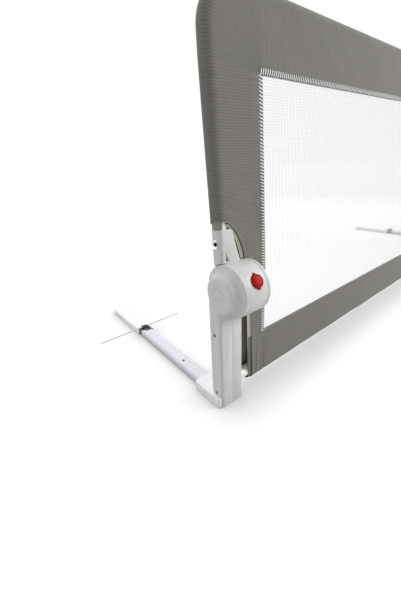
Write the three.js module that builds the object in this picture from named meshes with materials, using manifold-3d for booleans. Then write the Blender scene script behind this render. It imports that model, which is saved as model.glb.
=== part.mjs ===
// A folding bed guard rail: two posts with base arms that lie under the mattress, and a netted panel
// on a tube frame that turns down and outwards on a round hinge drum at each post.
// Millimetres. X runs along the rail, Y into the bed, Z up. The origin is at the middle of the
// footprint, on the surface that the base arms lie on.
import * as THREE from 'three';
import { mergeVertices } from 'three/addons/utils/BufferGeometryUtils.js';
import Module from 'manifold-3d';

const wasm = await Module();
wasm.setup();

// Driving sizes of the whole rail
const railLength = 1500;
const railHeight = 600;
const leanDegrees = 3.4;

// Clearances and the overrun of a cut past the face that it opens
const seatGap = 0.3;
const turnGap = 0.6;
const overrun = 5;

// Post: two plastic half shells round a steel core
const postWidth = 48;
const postDepth = 30;
const postCorner = 4;
const shellWall = 2.2;
const partingX = 24;
const coreSide = 20;
const coreWall = 1.5;
const coreX = 27;
const coreHeight = 145;
const shellScrewRadius = 2.6;
const shellScrewHeights = [24, 142];
const shellScrewSink = 0.8;

// Hinge drum: a fixed disc on the outer shell and a turning housing beside it
const hingeY = 2;
const hingeZ = 218;
const drumRadius = 43;
const drumWall = 2.6;
const discEnd = 22;
const capRadius = 31;
const rimStart = 16;
const rootFillet = 8;
const saddleGap = 1;
const housingEnd = 60;
const drumEnd = 68;
const coverEdge = 2.4;
const endWall = 2.6;

// Axle, its bush, the steel hinge plate and the lock ring with its lugs
const axleRadius = 5;
const axleHeadRadius = 8.5;
const axleHead = 4.4;
const axlePlugRadius = 8;
const axlePlugProud = 0.6;
const bushWall = 2.2;
const bossWall = 4.2;
const bossStart = 34;
const nutRadius = 8.6;
const nutLength = 4.6;
const plateThick = 3;
const plateRadius = 24;
const plateTongue = 17;
const plateFootZ = 112;
const ringRadius = 35;
const ringWall = 2.5;
const ringBase = 2;
const ringReach = 31;
const lugFrom = 5.2;
const lugTo = 10;

// Release button with its lock pin and spring
const buttonX = 42;
const buttonDegrees = 27;
const buttonRadius = 10.4;
const buttonFace = 7.6;
const buttonProud = 4;
const buttonSkirt = 6;
const buttonStem = 4.2;
const buttonTravel = 4.5;
const buttonKey = 1.5;
const buttonKeyReach = 2;
const lockPinRadius = 2.5;
const lockPinStart = 21;
const lockPinEnd = 47;
const springRadius = 3.3;
const springWire = 0.6;
const springTurns = 5;
const springSteps = 8;
const springSides = 5;

// Tube socket on the turning housing
const tubeRadius = 10;
const tubeWall = 1.2;
const tubeX = 24;
const tubeY = 17;
const socketWall = 2;
const socketRise = 47;
const socketFlare = 10;
const socketFlareDrop = 8;
const socketFlareLift = 1;
const socketCorner = 3.2;
const socketDepth = 24;
const windowWidth = 12;
const windowHeight = 16;
const windowDepth = 9;
const windowLift = 4;
const windowSide = 6;
const boltDrop = 18;
const boltRadius = 2.6;
const boltHeadRadius = 6.4;
const boltHead = 1.8;
const boltHex = 3;
const boltHexDepth = 1.2;

// Panel frame of bent tube
const bendRadius = 45;
const railJoint = 88;
const bottomTubeZ = 35;
const bottomTubeY = 16.5;

// Cloth cover: sleeves that taper to the seam of the net
const clothWall = 1.2;
const clothSlack = 0.8;
const bandWidth = 94;
const seamThick = 3.2;
const barLow = 19;
const barHigh = 113;
const cutX = 70;
const cutClear = 1.8;
const archSpan = 47;
const hemLift = 14;
const archLift = 22;
const archSteps = 8;
const foldClear = 1.8;

// Net, drawn with fewer and wider gaps than the real one
const netThick = 1;
const netStrand = 2.2;
const netColumns = 20;
const netRowsUpper = 3;
const netRowsLower = 1;

// Foot block under each post
const footLeft = 7;
const footRight = 35;
const footFront = 2.8;
const footBack = 72;
const footHeight = 20;
const footCorner = 5;
const footRecessRadius = 4;
const footRecessDepth = 1.4;
const footRecessY = 41;
const footSlotY = 12;
const footSlotZ = 8;
const footSlotWidth = 6;
const footSlotHeight = 3;

// Base arm
const armX = 15.6;
const armWidth = 28;
const armHeight = 16;
const armLift = 2.5;
const armRound = 7;
const armWall = 1.5;
const armStart = 14.5;
const armEnd = 310;
const armPlugX = 12;
const armPlugY = 137;
const plugRadius = 2.4;
const plugHead = 0.9;
const plugShank = 1.4;

// Clamp, crossbar and end foot at the far end of each arm
const clampStart = 300;
const clampEnd = 325;
const clampBossStart = 311;
const clampBossHeight = 25;
const crossbarY = 318;
const crossbarRadius = 2;
const crossbarLength = 216;
const crossbarOffset = 6;
const crossbarLift = 0.6;
const endFootWidth = 22;
const endFootHeight = 14;
const endFootTip = 490;
const endFootRound = 9;
const endGrooveWidth = 3;
const endGrooveDepth = 1.4;
const endGrooveSpread = 4.5;
const endGrooveShort = 16;
const spigotWidth = 18;
const spigotHeight = 6;
const pinY = 333;
const pinRadius = 3.2;

// How finely round shapes are cut into flats
const roundSides = 16;
const drumSides = 36;
const smallSides = 12;
const cornerSides = 2;
const sleeveSides = 4;

// Shares of a size that a shape's outline follows, chosen by eye
const coveXShares = [0, 0.08, 0.44, 0.66, 0.86, 0.94, 1.06];
const coveRadiusShares = [-0.14, 0, 0.08, 0.3, 0.76, 0.94, 1];
const windowLeanShare = 0.12;
const ribShare = 0.3;
const buttonEdgeShare = 0.25;

// Worked-out places that several pieces share
const lean = THREE.MathUtils.degToRad(leanDegrees);
const buttonAngle = THREE.MathUtils.degToRad(buttonDegrees);
const ringStart = coreX - coreSide / 2;
const plateStart = ringStart - seatGap - plateThick;
const headStart = plateStart - seatGap - axleHead;
const housingStart = discEnd + turnGap;
const lockRadius = ringRadius - ringWall / 2;
const bushRadius = axleRadius + seatGap + bushWall;
const bossRadius = bushRadius + seatGap + bossWall;
const buttonInner = lockRadius - lockPinRadius - seatGap - shellWall;
const sleeveRadius = tubeRadius + clothSlack + clothWall;
const clothFront = tubeY - sleeveRadius;
const seamX = tubeX - sleeveRadius + bandWidth;
const seamHigh = railHeight - bandWidth;
const tubeTop = railHeight - sleeveRadius;
const socketLeft = tubeX - tubeRadius - socketWall;
const socketRight = tubeX + tubeRadius + socketWall;
const socketFront = tubeY - tubeRadius - socketWall;
const socketBack = tubeY + tubeRadius + socketWall;
const drumTop = hingeZ + drumRadius;
const socketTop = drumTop + socketRise;
const socketFlareTop = socketTop - socketFlareDrop;
const socketFlareFoot = drumTop + socketFlareLift;
const socketFloor = socketTop - socketDepth;
const windowFoot = drumTop + windowLift;
const boltZ = socketTop - boltDrop;
const archFoot = hingeZ + archLift;
const archRise = socketTop + hemLift - archFoot;
const armTop = armLift + armHeight;
const crossbarZ = armTop + crossbarLift + crossbarRadius;
const legX = railLength / 2;
const buttonRim = drumRadius + buttonProud * (1 - buttonEdgeShare);
const upright = buttonAngle + lean;
const buttonSweep = Math.hypot(drumRadius + buttonProud, buttonFace);
const buttonFront = hingeY - buttonRim * Math.cos(upright) - buttonRadius * Math.sin(upright);
const footprintY = (endFootTip + buttonFront) / 2;

const white = { color: 0xe6e6e4, roughness: 0.42, metalness: 0 };
const satinWhite = { color: 0xececea, roughness: 0.3, metalness: 0 };
const steel = { color: 0xb9bcc0, roughness: 0.35, metalness: 1 };
const chrome = { color: 0xd6d8da, roughness: 0.12, metalness: 1 };
const enamel = { color: 0xdcdcda, roughness: 0.3, metalness: 0.2 };
const alloy = { color: 0xc9cbd1, roughness: 0.3, metalness: 1 };
const red = { color: 0xb7141c, roughness: 0.35, metalness: 0 };
const black = { color: 0x141416, roughness: 0.45, metalness: 0 };
const cloth = { color: 0x7b7873, roughness: 0.95, metalness: 0 };
const netting = { color: 0xf2f2f0, roughness: 0.9, metalness: 0 };
const darkSteel = { color: 0x3c3d40, roughness: 0.4, metalness: 1 };

// Shape helpers

// Signed volume of a closed indexed mesh: negative where its faces point inwards
function signedVolume(positions, indices) {
  let volume = 0;
  const a = new THREE.Vector3();
  const b = new THREE.Vector3();
  const c = new THREE.Vector3();
  for (let i = 0; i < indices.length; i += 3) {
    a.fromArray(positions, indices[i] * 3);
    b.fromArray(positions, indices[i + 1] * 3);
    c.fromArray(positions, indices[i + 2] * 3);
    volume += a.dot(b.cross(c)) / 6;
  }
  return volume;
}

// A closed geometry as a solid that can be cut and joined
function solid(geometry) {
  const bare = geometry.clone();
  bare.deleteAttribute('normal');
  bare.deleteAttribute('uv');
  const merged = mergeVertices(bare);
  const positions = merged.attributes.position.array;
  const kept = [];
  const index = merged.index.array;
  for (let i = 0; i < index.length; i += 3) {
    const [p, q, r] = [index[i], index[i + 1], index[i + 2]];
    if (p !== q && q !== r && r !== p) kept.push(p, q, r);
  }
  const flip = signedVolume(positions, kept) < 0;
  if (flip) {
    for (let i = 0; i < kept.length; i += 3) {
      [kept[i + 1], kept[i + 2]] = [kept[i + 2], kept[i + 1]];
    }
  }
  return new wasm.Manifold(new wasm.Mesh({
    numProp: 3,
    vertProperties: new Float32Array(positions),
    triVerts: new Uint32Array(kept),
  }));
}

function geometryOf(body) {
  const mesh = body.getMesh();
  const geometry = new THREE.BufferGeometry();
  geometry.setAttribute('position', new THREE.BufferAttribute(new Float32Array(mesh.vertProperties), 3));
  geometry.setIndex(new THREE.BufferAttribute(new Uint32Array(mesh.triVerts), 1));
  geometry.computeVertexNormals();
  return geometry;
}

const joinAll = (bodies) => bodies.reduce((whole, body) => whole.add(body));
const cutAll = (body, cuts) => cuts.reduce((left, cut) => left.subtract(cut), body);

// Extrusions of an outline along each axis: the outline is in (Y, Z), (X, Z) or (X, Y)
const alongX = new THREE.Matrix4().makeBasis(
  new THREE.Vector3(0, 1, 0), new THREE.Vector3(0, 0, 1), new THREE.Vector3(1, 0, 0));
const alongY = new THREE.Matrix4().makeBasis(
  new THREE.Vector3(1, 0, 0), new THREE.Vector3(0, 0, 1), new THREE.Vector3(0, -1, 0));

function extrude(outline, depth) {
  return new THREE.ExtrudeGeometry(outline, { depth, bevelEnabled: false, curveSegments: cornerSides });
}
const prismX = (outline, from, to) => solid(extrude(outline, to - from).applyMatrix4(alongX).translate(from, 0, 0));
const prismY = (outline, from, to) => solid(extrude(outline, to - from).applyMatrix4(alongY).translate(0, to, 0));
const prismZ = (outline, from, to) => solid(extrude(outline, to - from).translate(0, 0, from));

// A rectangle with rounded corners between two opposite corners
function rounded(u0, v0, u1, v1, radius) {
  const shape = new THREE.Shape();
  const quarter = Math.PI / 2;
  shape.moveTo(u0 + radius, v0);
  shape.lineTo(u1 - radius, v0);
  shape.absarc(u1 - radius, v0 + radius, radius, -quarter, 0);
  shape.lineTo(u1, v1 - radius);
  shape.absarc(u1 - radius, v1 - radius, radius, 0, quarter);
  shape.lineTo(u0 + radius, v1);
  shape.absarc(u0 + radius, v1 - radius, radius, quarter, 2 * quarter);
  shape.lineTo(u0, v0 + radius);
  shape.absarc(u0 + radius, v0 + radius, radius, 2 * quarter, 3 * quarter);
  return shape;
}

function polygon(points) {
  return new THREE.Shape(points.map(([u, v]) => new THREE.Vector2(u, v)));
}

const block = (x0, y0, z0, x1, y1, z1) => solid(new THREE.BoxGeometry(x1 - x0, y1 - y0, z1 - z0)
  .translate((x0 + x1) / 2, (y0 + y1) / 2, (z0 + z1) / 2));

// A turned shape about an axis along X, from points of (x, radius)
function turnedX(profile, y, z, sides = drumSides) {
  const points = profile.map(([x, radius]) => new THREE.Vector2(radius, x));
  return solid(new THREE.LatheGeometry(points, sides).rotateZ(-Math.PI / 2).translate(0, y, z));
}
const rodX = (radius, from, to, y, z, sides = roundSides) =>
  turnedX([[from, 0], [from, radius], [to, radius], [to, 0]], y, z, sides);
const rodZ = (radius, from, to, x, y, sides = roundSides) =>
  solid(new THREE.CylinderGeometry(radius, radius, to - from, sides).rotateX(Math.PI / 2)
    .translate(x, y, (from + to) / 2));

// Post shells

// The fixed disc: a flat cap, a cove and the rim beside the turning housing
function discBlock() {
  const cove = coveXShares.map((share, i) =>
    [share * rimStart, capRadius + coveRadiusShares[i] * (drumRadius - capRadius)]);
  return turnedX([[0, 0], ...cove, [discEnd, drumRadius], [discEnd, 0]], hingeY, hingeZ);
}

function discHollow() {
  const narrow = capRadius - shellWall;
  const wide = drumRadius - shellWall;
  return turnedX([[shellWall, 0], [shellWall, narrow], [rimStart - shellWall, narrow],
    [rimStart + shellWall, wide], [discEnd + overrun, wide], [discEnd + overrun, 0]], hingeY, hingeZ);
}

// The hollow between the post's front face and a round of the given radius, as a concave fillet
function rootFilletOutline(radius) {
  const reach = radius + rootFillet;
  const centreY = -rootFillet;
  const centreZ = hingeZ - Math.sqrt(reach * reach - (centreY - hingeY) ** 2);
  const share = radius / reach;
  const touchY = hingeY + (centreY - hingeY) * share;
  const touchZ = hingeZ + (centreZ - hingeZ) * share;
  const end = Math.atan2(touchZ - centreZ, touchY - centreY);
  const shape = new THREE.Shape();
  shape.moveTo(shellWall, centreZ);
  shape.lineTo(0, centreZ);
  shape.absarc(centreY, centreZ, rootFillet, 0, end, false);
  shape.lineTo(touchY, hingeZ - radius / 2);
  shape.lineTo(shellWall, hingeZ - radius / 2);
  return shape;
}

const postBlock = () => prismZ(rounded(0, 0, postWidth, postDepth, postCorner), 0, hingeZ);
const postHollow = () => prismZ(
  rounded(shellWall, shellWall, postWidth - shellWall, postDepth - shellWall, postCorner - shellWall),
  shellWall, hingeZ + overrun);
const turningRoom = (from, extra = 0) =>
  rodX(drumRadius + saddleGap + extra, from, drumEnd + overrun, hingeY, hingeZ, drumSides);
const footRoom = () => block(-footLeft - overrun, footFront - seatGap, -overrun,
  footRight + seatGap, footBack + overrun, footHeight + seatGap);
const screwRoom = (height) =>
  rodX(shellScrewRadius + seatGap, -overrun, partingX, postDepth / 2, height, smallSides);

function outerShell() {
  const halfEnd = partingX - seatGap / 2;
  const half = postBlock().intersect(block(-overrun, -overrun, -overrun, halfEnd, postDepth + overrun, hingeZ));
  const fillets = [
    prismX(rootFilletOutline(capRadius), 0, rimStart * coveXShares[2]),
    prismX(rootFilletOutline(drumRadius), rimStart, discEnd),
  ];
  const plugHole = rodX(axlePlugRadius + seatGap, -overrun, shellWall + overrun, hingeY, hingeZ);
  const cuts = [postHollow(), discHollow(), turningRoom(discEnd), footRoom(), plugHole];
  shellScrewHeights.forEach((height) => cuts.push(screwRoom(height)));
  const shell = cutAll(joinAll([half, discBlock(), ...fillets]), cuts);
  const bosses = shellScrewHeights.map((height) =>
    rodX(shellScrewRadius + seatGap + shellWall, shellWall / 2, plateStart - turnGap, postDepth / 2, height,
      smallSides).subtract(screwRoom(height)));
  return joinAll([shell, ...bosses]).subtract(footRoom());
}

// The way of the proud button past the top of the inner shell
const buttonRoom = (extra = 0) => rodX(buttonSweep + turnGap + extra, buttonX - buttonRadius - turnGap - extra,
  postWidth + overrun, hingeY, hingeZ, drumSides);

function innerShell() {
  const halfStart = partingX + seatGap / 2;
  const half = postBlock().intersect(
    block(halfStart, -overrun, -overrun, postWidth + overrun, postDepth + overrun, hingeZ));
  const hollow = cutAll(postHollow(), [turningRoom(0, shellWall), buttonRoom(shellWall)]);
  const tubeHole = rodX(tubeRadius + seatGap, coreX, postWidth + overrun, bottomTubeY, bottomTubeZ);
  return cutAll(half, [hollow, turningRoom(0), buttonRoom(), footRoom(), tubeHole]);
}

// A screw that is sunk in the outer shell and runs back into the post
function shellScrew(height) {
  const head = rodX(shellScrewRadius, shellScrewSink, plateStart - seatGap, postDepth / 2, height, smallSides);
  const slot = block(0, postDepth / 2 - shellScrewRadius, height - shellScrewSink / 2,
    shellScrewSink * 2, postDepth / 2 + shellScrewRadius, height + shellScrewSink / 2);
  return head.subtract(slot);
}

// Steel parts inside the post

function postCore() {
  const [x0, x1] = [coreX - coreSide / 2, coreX + coreSide / 2];
  const [y0, y1] = [postDepth / 2 - coreSide / 2, postDepth / 2 + coreSide / 2];
  const foot = footHeight + seatGap;
  const bar = block(x0, y0, foot, x1, y1, foot + coreHeight);
  return bar.subtract(block(x0 + coreWall, y0 + coreWall, foot - overrun, x1 - coreWall, y1 - coreWall,
    foot + coreHeight + overrun));
}

function hingePlate() {
  const tongue = block(plateStart, postDepth / 2 - plateTongue / 2, plateFootZ,
    plateStart + plateThick, postDepth / 2 + plateTongue / 2, hingeZ);
  const round = rodX(plateRadius, plateStart, plateStart + plateThick, hingeY, hingeZ, drumSides);
  const bore = rodX(axleRadius + seatGap, plateStart - overrun, plateStart + plateThick + overrun, hingeY, hingeZ);
  return tongue.add(round).subtract(bore);
}

// A wedge about the hinge axis between two angles, measured from the front, upwards
function wedge(fromDegrees, toDegrees, from, to) {
  const reach = ringRadius + overrun;
  const corner = (degrees) => {
    const angle = THREE.MathUtils.degToRad(degrees);
    return [hingeY - reach * Math.cos(angle), hingeZ + reach * Math.sin(angle)];
  };
  return prismX(polygon([[hingeY, hingeZ], corner(toDegrees), corner(fromDegrees)]), from, to);
}

function lockRing() {
  const end = ringStart + ringBase;
  const base = turnedX([[ringStart, axleRadius + seatGap], [ringStart, ringRadius], [end, ringRadius],
    [end, axleRadius + seatGap], [ringStart, axleRadius + seatGap]], hingeY, hingeZ);
  const wallStart = end - ringBase / 2;
  const wall = turnedX([[wallStart, ringRadius - ringWall], [wallStart, ringRadius], [ringReach, ringRadius],
    [ringReach, ringRadius - ringWall], [wallStart, ringRadius - ringWall]], hingeY, hingeZ);
  const locked = buttonDegrees + leanDegrees;
  const lugs = [locked, locked + 180].flatMap((centre) => [
    wall.intersect(wedge(centre + lugFrom, centre + lugTo, 0, drumEnd)),
    wall.intersect(wedge(centre - lugTo, centre - lugFrom, 0, drumEnd)),
  ]);
  return joinAll([base, ...lugs]);
}

function axleBolt() {
  const nutStart = housingEnd + seatGap;
  return turnedX([[headStart, 0], [headStart, axleHeadRadius], [headStart + axleHead, axleHeadRadius],
    [headStart + axleHead, axleRadius], [nutStart + nutLength, axleRadius], [nutStart + nutLength, 0]],
  hingeY, hingeZ, roundSides);
}

function axleNut() {
  const nutStart = housingEnd + seatGap;
  const nut = rodX(nutRadius, nutStart, nutStart + nutLength, hingeY, hingeZ, 6);
  return nut.subtract(rodX(axleRadius + seatGap / 2, 0, drumEnd, hingeY, hingeZ));
}

// The round plug over the axle head, in the face of the outer shell
function axlePlug() {
  const end = headStart - seatGap;
  return turnedX([[-axlePlugProud, 0], [-axlePlugProud, axlePlugRadius - axlePlugProud],
    [0, axlePlugRadius], [end, axlePlugRadius], [end, 0]], hingeY, hingeZ, roundSides);
}

// Parts that turn with the panel, drawn upright and then leaned with it

// A tool shape on the button's axis: its own X is along the rail and its own Z points outwards
function onButtonAxis(geometry) {
  return geometry.rotateX(Math.PI / 2 - buttonAngle).translate(buttonX, hingeY, hingeZ);
}
const buttonRod = (radius, from, to, sides = roundSides) => solid(onButtonAxis(
  new THREE.CylinderGeometry(radius, radius, to - from, sides).rotateX(Math.PI / 2)
    .translate(0, 0, (from + to) / 2)));
const buttonKeys = (grow, from, to) => solid(onButtonAxis(new THREE.BoxGeometry(
  (buttonKey + grow) * 2, (buttonRadius + buttonKeyReach + grow) * 2, to - from)
  .translate(0, 0, (from + to) / 2)));

function socketBody() {
  const foot = hingeZ + drumRadius * Math.SQRT1_2;
  const profile = polygon([[socketLeft, foot], [socketRight + socketFlare, foot],
    [socketRight + socketFlare, socketFlareFoot], [socketRight, socketFlareTop],
    [socketRight, socketTop], [socketLeft, socketTop]]);
  const column = prismY(profile, socketFront, socketBack);
  const softened = prismZ(rounded(socketLeft, socketFront, socketRight + socketFlare, socketBack, socketCorner),
    foot - overrun, socketTop + overrun);
  const bore = rodZ(tubeRadius + seatGap, socketFloor, socketTop + overrun, tubeX, tubeY);
  const fixedDisc = rodX(drumRadius + saddleGap + turnGap, -overrun, housingStart, hingeY, hingeZ, drumSides);
  const boltHole = rodX(boltRadius + seatGap, -overrun, socketRight - socketWall / 2, tubeY, boltZ, smallSides);
  const headRoom = rodX(boltHeadRadius + seatGap, -overrun, socketLeft + boltHead / 2, tubeY, boltZ);
  return cutAll(column.intersect(softened), [bore, fixedDisc, boltHole, headRoom, ...socketWindow()]);
}

// The three-cornered window in the socket's front, with one upright rib left in it
function socketWindow() {
  const left = socketLeft + windowSide;
  const tip = left + windowWidth * windowLeanShare;
  const outline = polygon([[left, windowFoot], [left + windowWidth, windowFoot],
    [tip + windowSide / 2, windowFoot + windowHeight], [tip, windowFoot + windowHeight]]);
  const pocket = prismY(outline, socketFront - overrun, socketFront + windowDepth);
  const ribX = left + windowWidth * ribShare;
  const rib = block(ribX, socketFront + shellWall, windowFoot - overrun, ribX + shellWall,
    socketFront + windowDepth, windowFoot + windowHeight + overrun);
  return [pocket.subtract(rib)];
}

function drumHousing() {
  const inner = drumRadius - drumWall;
  const lip = drumRadius - coverEdge / 4;
  const skin = turnedX([[housingStart, inner], [housingStart, lip], [housingStart + coverEdge / 4, drumRadius],
    [housingEnd, drumRadius], [housingEnd, axleRadius + bushWall + 2 * seatGap],
    [bossStart, axleRadius + bushWall + 2 * seatGap], [bossStart, bossRadius],
    [housingEnd - endWall, bossRadius], [housingEnd - endWall, inner], [housingStart, inner]], hingeY, hingeZ);
  const mouth = buttonRod(buttonRadius + seatGap, inner - buttonTravel, drumRadius + overrun);
  const keyways = buttonKeys(seatGap, inner - buttonTravel, drumRadius + overrun);
  const inside = turnedX([[housingStart - overrun, 0], [housingStart - overrun, inner],
    [housingEnd - endWall, inner], [housingEnd - endWall, 0]], hingeY, hingeZ);
  return cutAll(skin.add(socketBody().subtract(inside)), [mouth, keyways]);
}

function drumCover() {
  const start = housingEnd + seatGap;
  const inner = drumRadius - drumWall;
  const depth = start + nutLength + seatGap;
  return turnedX([[start, inner], [start, drumRadius], [drumEnd - coverEdge, drumRadius],
    [drumEnd - coverEdge * (1 - Math.SQRT1_2), drumRadius - coverEdge * (1 - Math.SQRT1_2)],
    [drumEnd, drumRadius - coverEdge], [drumEnd, 0], [depth, 0], [depth, inner], [start, inner]], hingeY, hingeZ);
}

function hingeBush() {
  const bore = axleRadius + seatGap;
  return turnedX([[bossStart, bore], [bossStart, bushRadius], [housingEnd, bushRadius],
    [housingEnd, bore], [bossStart, bore]], hingeY, hingeZ, roundSides);
}

function releaseButton() {
  const skirtEnd = drumRadius - drumWall / 2;
  const face = drumRadius + buttonProud;
  const cap = new THREE.LatheGeometry([
    new THREE.Vector2(0, skirtEnd - buttonSkirt / 2), new THREE.Vector2(buttonRadius, skirtEnd - buttonSkirt / 2),
    new THREE.Vector2(buttonRadius, buttonRim),
    new THREE.Vector2(buttonRadius - (face - buttonRim), (face + buttonRim) / 2),
    new THREE.Vector2(buttonFace, face), new THREE.Vector2(0, face)], roundSides).rotateX(Math.PI / 2);
  const keys = buttonKeys(0, skirtEnd - buttonSkirt / 2, drumRadius + buttonProud / 4);
  const stem = buttonRod(buttonStem, buttonInner, skirtEnd, smallSides);
  const pinHole = leanedPin(lockPinRadius + seatGap, lockPinStart - overrun, lockPinEnd + overrun);
  return joinAll([solid(onButtonAxis(cap)), keys, stem]).subtract(pinHole);
}

// The lock pin lies along the rail at the lock ring's radius, on the button's angle
const leanedPin = (radius, from, to) => rodX(radius, from, to,
  hingeY - lockRadius * Math.cos(buttonAngle), hingeZ + lockRadius * Math.sin(buttonAngle), smallSides);
const lockPin = () => leanedPin(lockPinRadius, lockPinStart, lockPinEnd);

// Return spring between the hinge boss and the button's stem: one open wire
function buttonSpring() {
  const low = bossRadius + springWire + seatGap;
  const high = buttonInner - springWire - seatGap;
  const count = springTurns * springSteps;
  const rise = (high - low) / count;
  const positions = [];
  const indices = [];
  const centre = (i) => {
    const angle = (i / springSteps) * 2 * Math.PI;
    return new THREE.Vector3(springRadius * Math.cos(angle), springRadius * Math.sin(angle), low + rise * i);
  };
  for (let i = 0; i <= count; i += 1) {
    const angle = (i / springSteps) * 2 * Math.PI;
    const outwards = new THREE.Vector3(Math.cos(angle), Math.sin(angle), 0);
    for (let side = 0; side < springSides; side += 1) {
      const turn = (side / springSides) * 2 * Math.PI;
      const point = centre(i).addScaledVector(outwards, springWire * Math.cos(turn));
      point.z += springWire * Math.sin(turn);
      positions.push(point.x, point.y, point.z);
    }
  }
  for (let i = 0; i < count; i += 1) {
    for (let side = 0; side < springSides; side += 1) {
      const next = (side + 1) % springSides;
      const [a, b] = [i * springSides + side, i * springSides + next];
      indices.push(a, b, b + springSides, a, b + springSides, a + springSides);
    }
  }
  for (let side = 1; side < springSides - 1; side += 1) {
    indices.push(0, side + 1, side);
    const end = count * springSides;
    indices.push(end, end + side, end + side + 1);
  }
  const geometry = new THREE.BufferGeometry();
  geometry.setAttribute('position', new THREE.Float32BufferAttribute(positions, 3));
  geometry.setIndex(indices);
  let least = Infinity;
  for (let i = 0; i <= count; i += 1) {
    for (let j = i + springSteps / 2; j <= count; j += 1) least = Math.min(least, centre(i).distanceTo(centre(j)));
  }
  console.log(`button spring: ${(least - 2 * springWire).toFixed(2)} mm between its turns`);
  return solid(onButtonAxis(geometry));
}

function socketBolt() {
  const seat = socketLeft + boltHead / 2 - seatGap;
  const end = socketRight - socketWall / 2 - seatGap;
  const bolt = turnedX([[seat - boltHead, 0], [seat - boltHead, boltHeadRadius - boltHead / 2],
    [seat - boltHead / 2, boltHeadRadius], [seat, boltHeadRadius], [seat, boltRadius], [end, boltRadius],
    [end, 0]], tubeY, boltZ, roundSides);
  return bolt.subtract(rodX(boltHex, seat - boltHead - overrun, seat - boltHead + boltHexDepth, tubeY, boltZ, 6));
}

// A round tube along the quarter bend of the frame's corner
function bend(radius) {
  const centre = new THREE.Vector3(tubeX + bendRadius, tubeY, tubeTop - bendRadius);
  const path = new THREE.CurvePath();
  const reach = bendRadius * (4 / 3) * (Math.SQRT2 - 1);
  path.add(new THREE.CubicBezierCurve3(
    new THREE.Vector3(centre.x - bendRadius, tubeY, centre.z),
    new THREE.Vector3(centre.x - bendRadius, tubeY, centre.z + reach),
    new THREE.Vector3(centre.x - reach, tubeY, centre.z + bendRadius),
    new THREE.Vector3(centre.x, tubeY, centre.z + bendRadius)));
  const ring = new THREE.Shape();
  ring.absarc(0, 0, radius, 0, 2 * Math.PI);
  return solid(new THREE.ExtrudeGeometry(ring, {
    steps: roundSides / 4, extrudePath: path, bevelEnabled: false, curveSegments: roundSides / 2,
  }));
}

function tubeForm(radius, extend) {
  return joinAll([
    rodZ(radius, socketFloor + seatGap - extend, tubeTop - bendRadius + seatGap, tubeX, tubeY),
    bend(radius),
    rodX(radius, tubeX + bendRadius - seatGap, railJoint + extend, tubeY, tubeTop),
  ]);
}

function cornerTube() {
  const boltHole = rodX(boltRadius + seatGap, 0, postWidth, tubeY, boltZ, smallSides);
  return cutAll(tubeForm(tubeRadius, 0), [tubeForm(tubeRadius - tubeWall, overrun), boltHole]);
}

function straightTube(reach, y, z) {
  return rodX(tubeRadius, -reach, reach, y, z)
    .subtract(rodX(tubeRadius - tubeWall, -reach - overrun, reach + overrun, y, z));
}

// Cloth cover

// Section of a sleeve: snug round the tube at one edge, and drawn to the seam at the other.
// It is given as (along the width from the tube side, across the thickness from the front layer).
function sleeveOutline(inset) {
  const shape = new THREE.Shape();
  const radius = sleeveRadius - inset;
  const width = bandWidth - inset * 2;
  const tip = seamThick - inset;
  const [along, across] = [width - sleeveRadius, tip - sleeveRadius];
  const touch = Math.atan2(across, along) + Math.acos(radius / Math.hypot(across, along));
  shape.moveTo(width, inset);
  shape.lineTo(sleeveRadius, inset);
  shape.absarc(sleeveRadius, sleeveRadius, radius, -Math.PI / 2, touch, true);
  shape.lineTo(width, tip);
  return new THREE.Shape(shape.getPoints(sleeveSides));
}

// The open quarter of the cover that leaves the hinge drum free
function archOutline() {
  const shape = new THREE.Shape();
  const left = socketLeft - overrun;
  const cutTop = hingeZ + drumRadius + cutClear;
  const firstAngle = Math.asin((cutTop - archFoot) / archRise);
  shape.moveTo(left, hingeZ - overrun);
  shape.lineTo(cutX, hingeZ - overrun);
  shape.lineTo(cutX, cutTop);
  for (let i = 0; i <= archSteps; i += 1) {
    const angle = firstAngle + (i / archSteps) * (Math.PI / 2 - firstAngle);
    shape.lineTo(socketLeft + archSpan * Math.cos(angle), archFoot + archRise * Math.sin(angle));
  }
  shape.lineTo(left, archFoot + archRise);
  return shape;
}

const bandStart = tubeX - sleeveRadius;
const bandShape = (inset, from, to) => prismZ(sleeveOutline(inset), from, to).translate([bandStart, clothFront, 0]);

// The cover's corner, round where it follows the bent tube
function cornerOutline(inset, side) {
  const [left, high] = [bandStart + inset, railHeight - inset];
  const reach = bendRadius + sleeveRadius - inset;
  const shape = new THREE.Shape();
  shape.moveTo(left, seamHigh + inset);
  shape.lineTo(seamX + side, seamHigh + inset);
  shape.lineTo(seamX + side, high);
  shape.lineTo(left + reach, high);
  shape.absarc(left + reach, high - reach, reach, Math.PI / 2, Math.PI);
  return new THREE.Shape(shape.getPoints(sleeveSides));
}

// Upper side band with the pocket for the frame's corner
function upperBand() {
  const low = hingeZ + seatGap;
  const corner = (inset, side) => prismY(cornerOutline(inset, side), clothFront + inset,
    clothFront + sleeveRadius * 2 - inset);
  const meet = seamHigh + clothWall * 2;
  const outer = bandShape(0, low, meet).add(corner(0, 0));
  const inner = bandShape(clothWall, low - overrun, meet).add(corner(clothWall, overrun));
  const arch = prismY(archOutline(), clothFront - overrun, clothFront + sleeveRadius * 2 + overrun);
  return cutAll(outer, [inner, arch]);
}

// Lower side band beside the post, from the bottom bar to the fold
function lowerBand() {
  const low = barHigh + seatGap;
  const high = hingeZ - foldClear;
  const band = bandShape(0, low, high).subtract(bandShape(clothWall, low - overrun, high + overrun));
  return band.subtract(block(-overrun, -overrun, low - overrun, cutX, postDepth + overrun, high + overrun));
}

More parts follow.
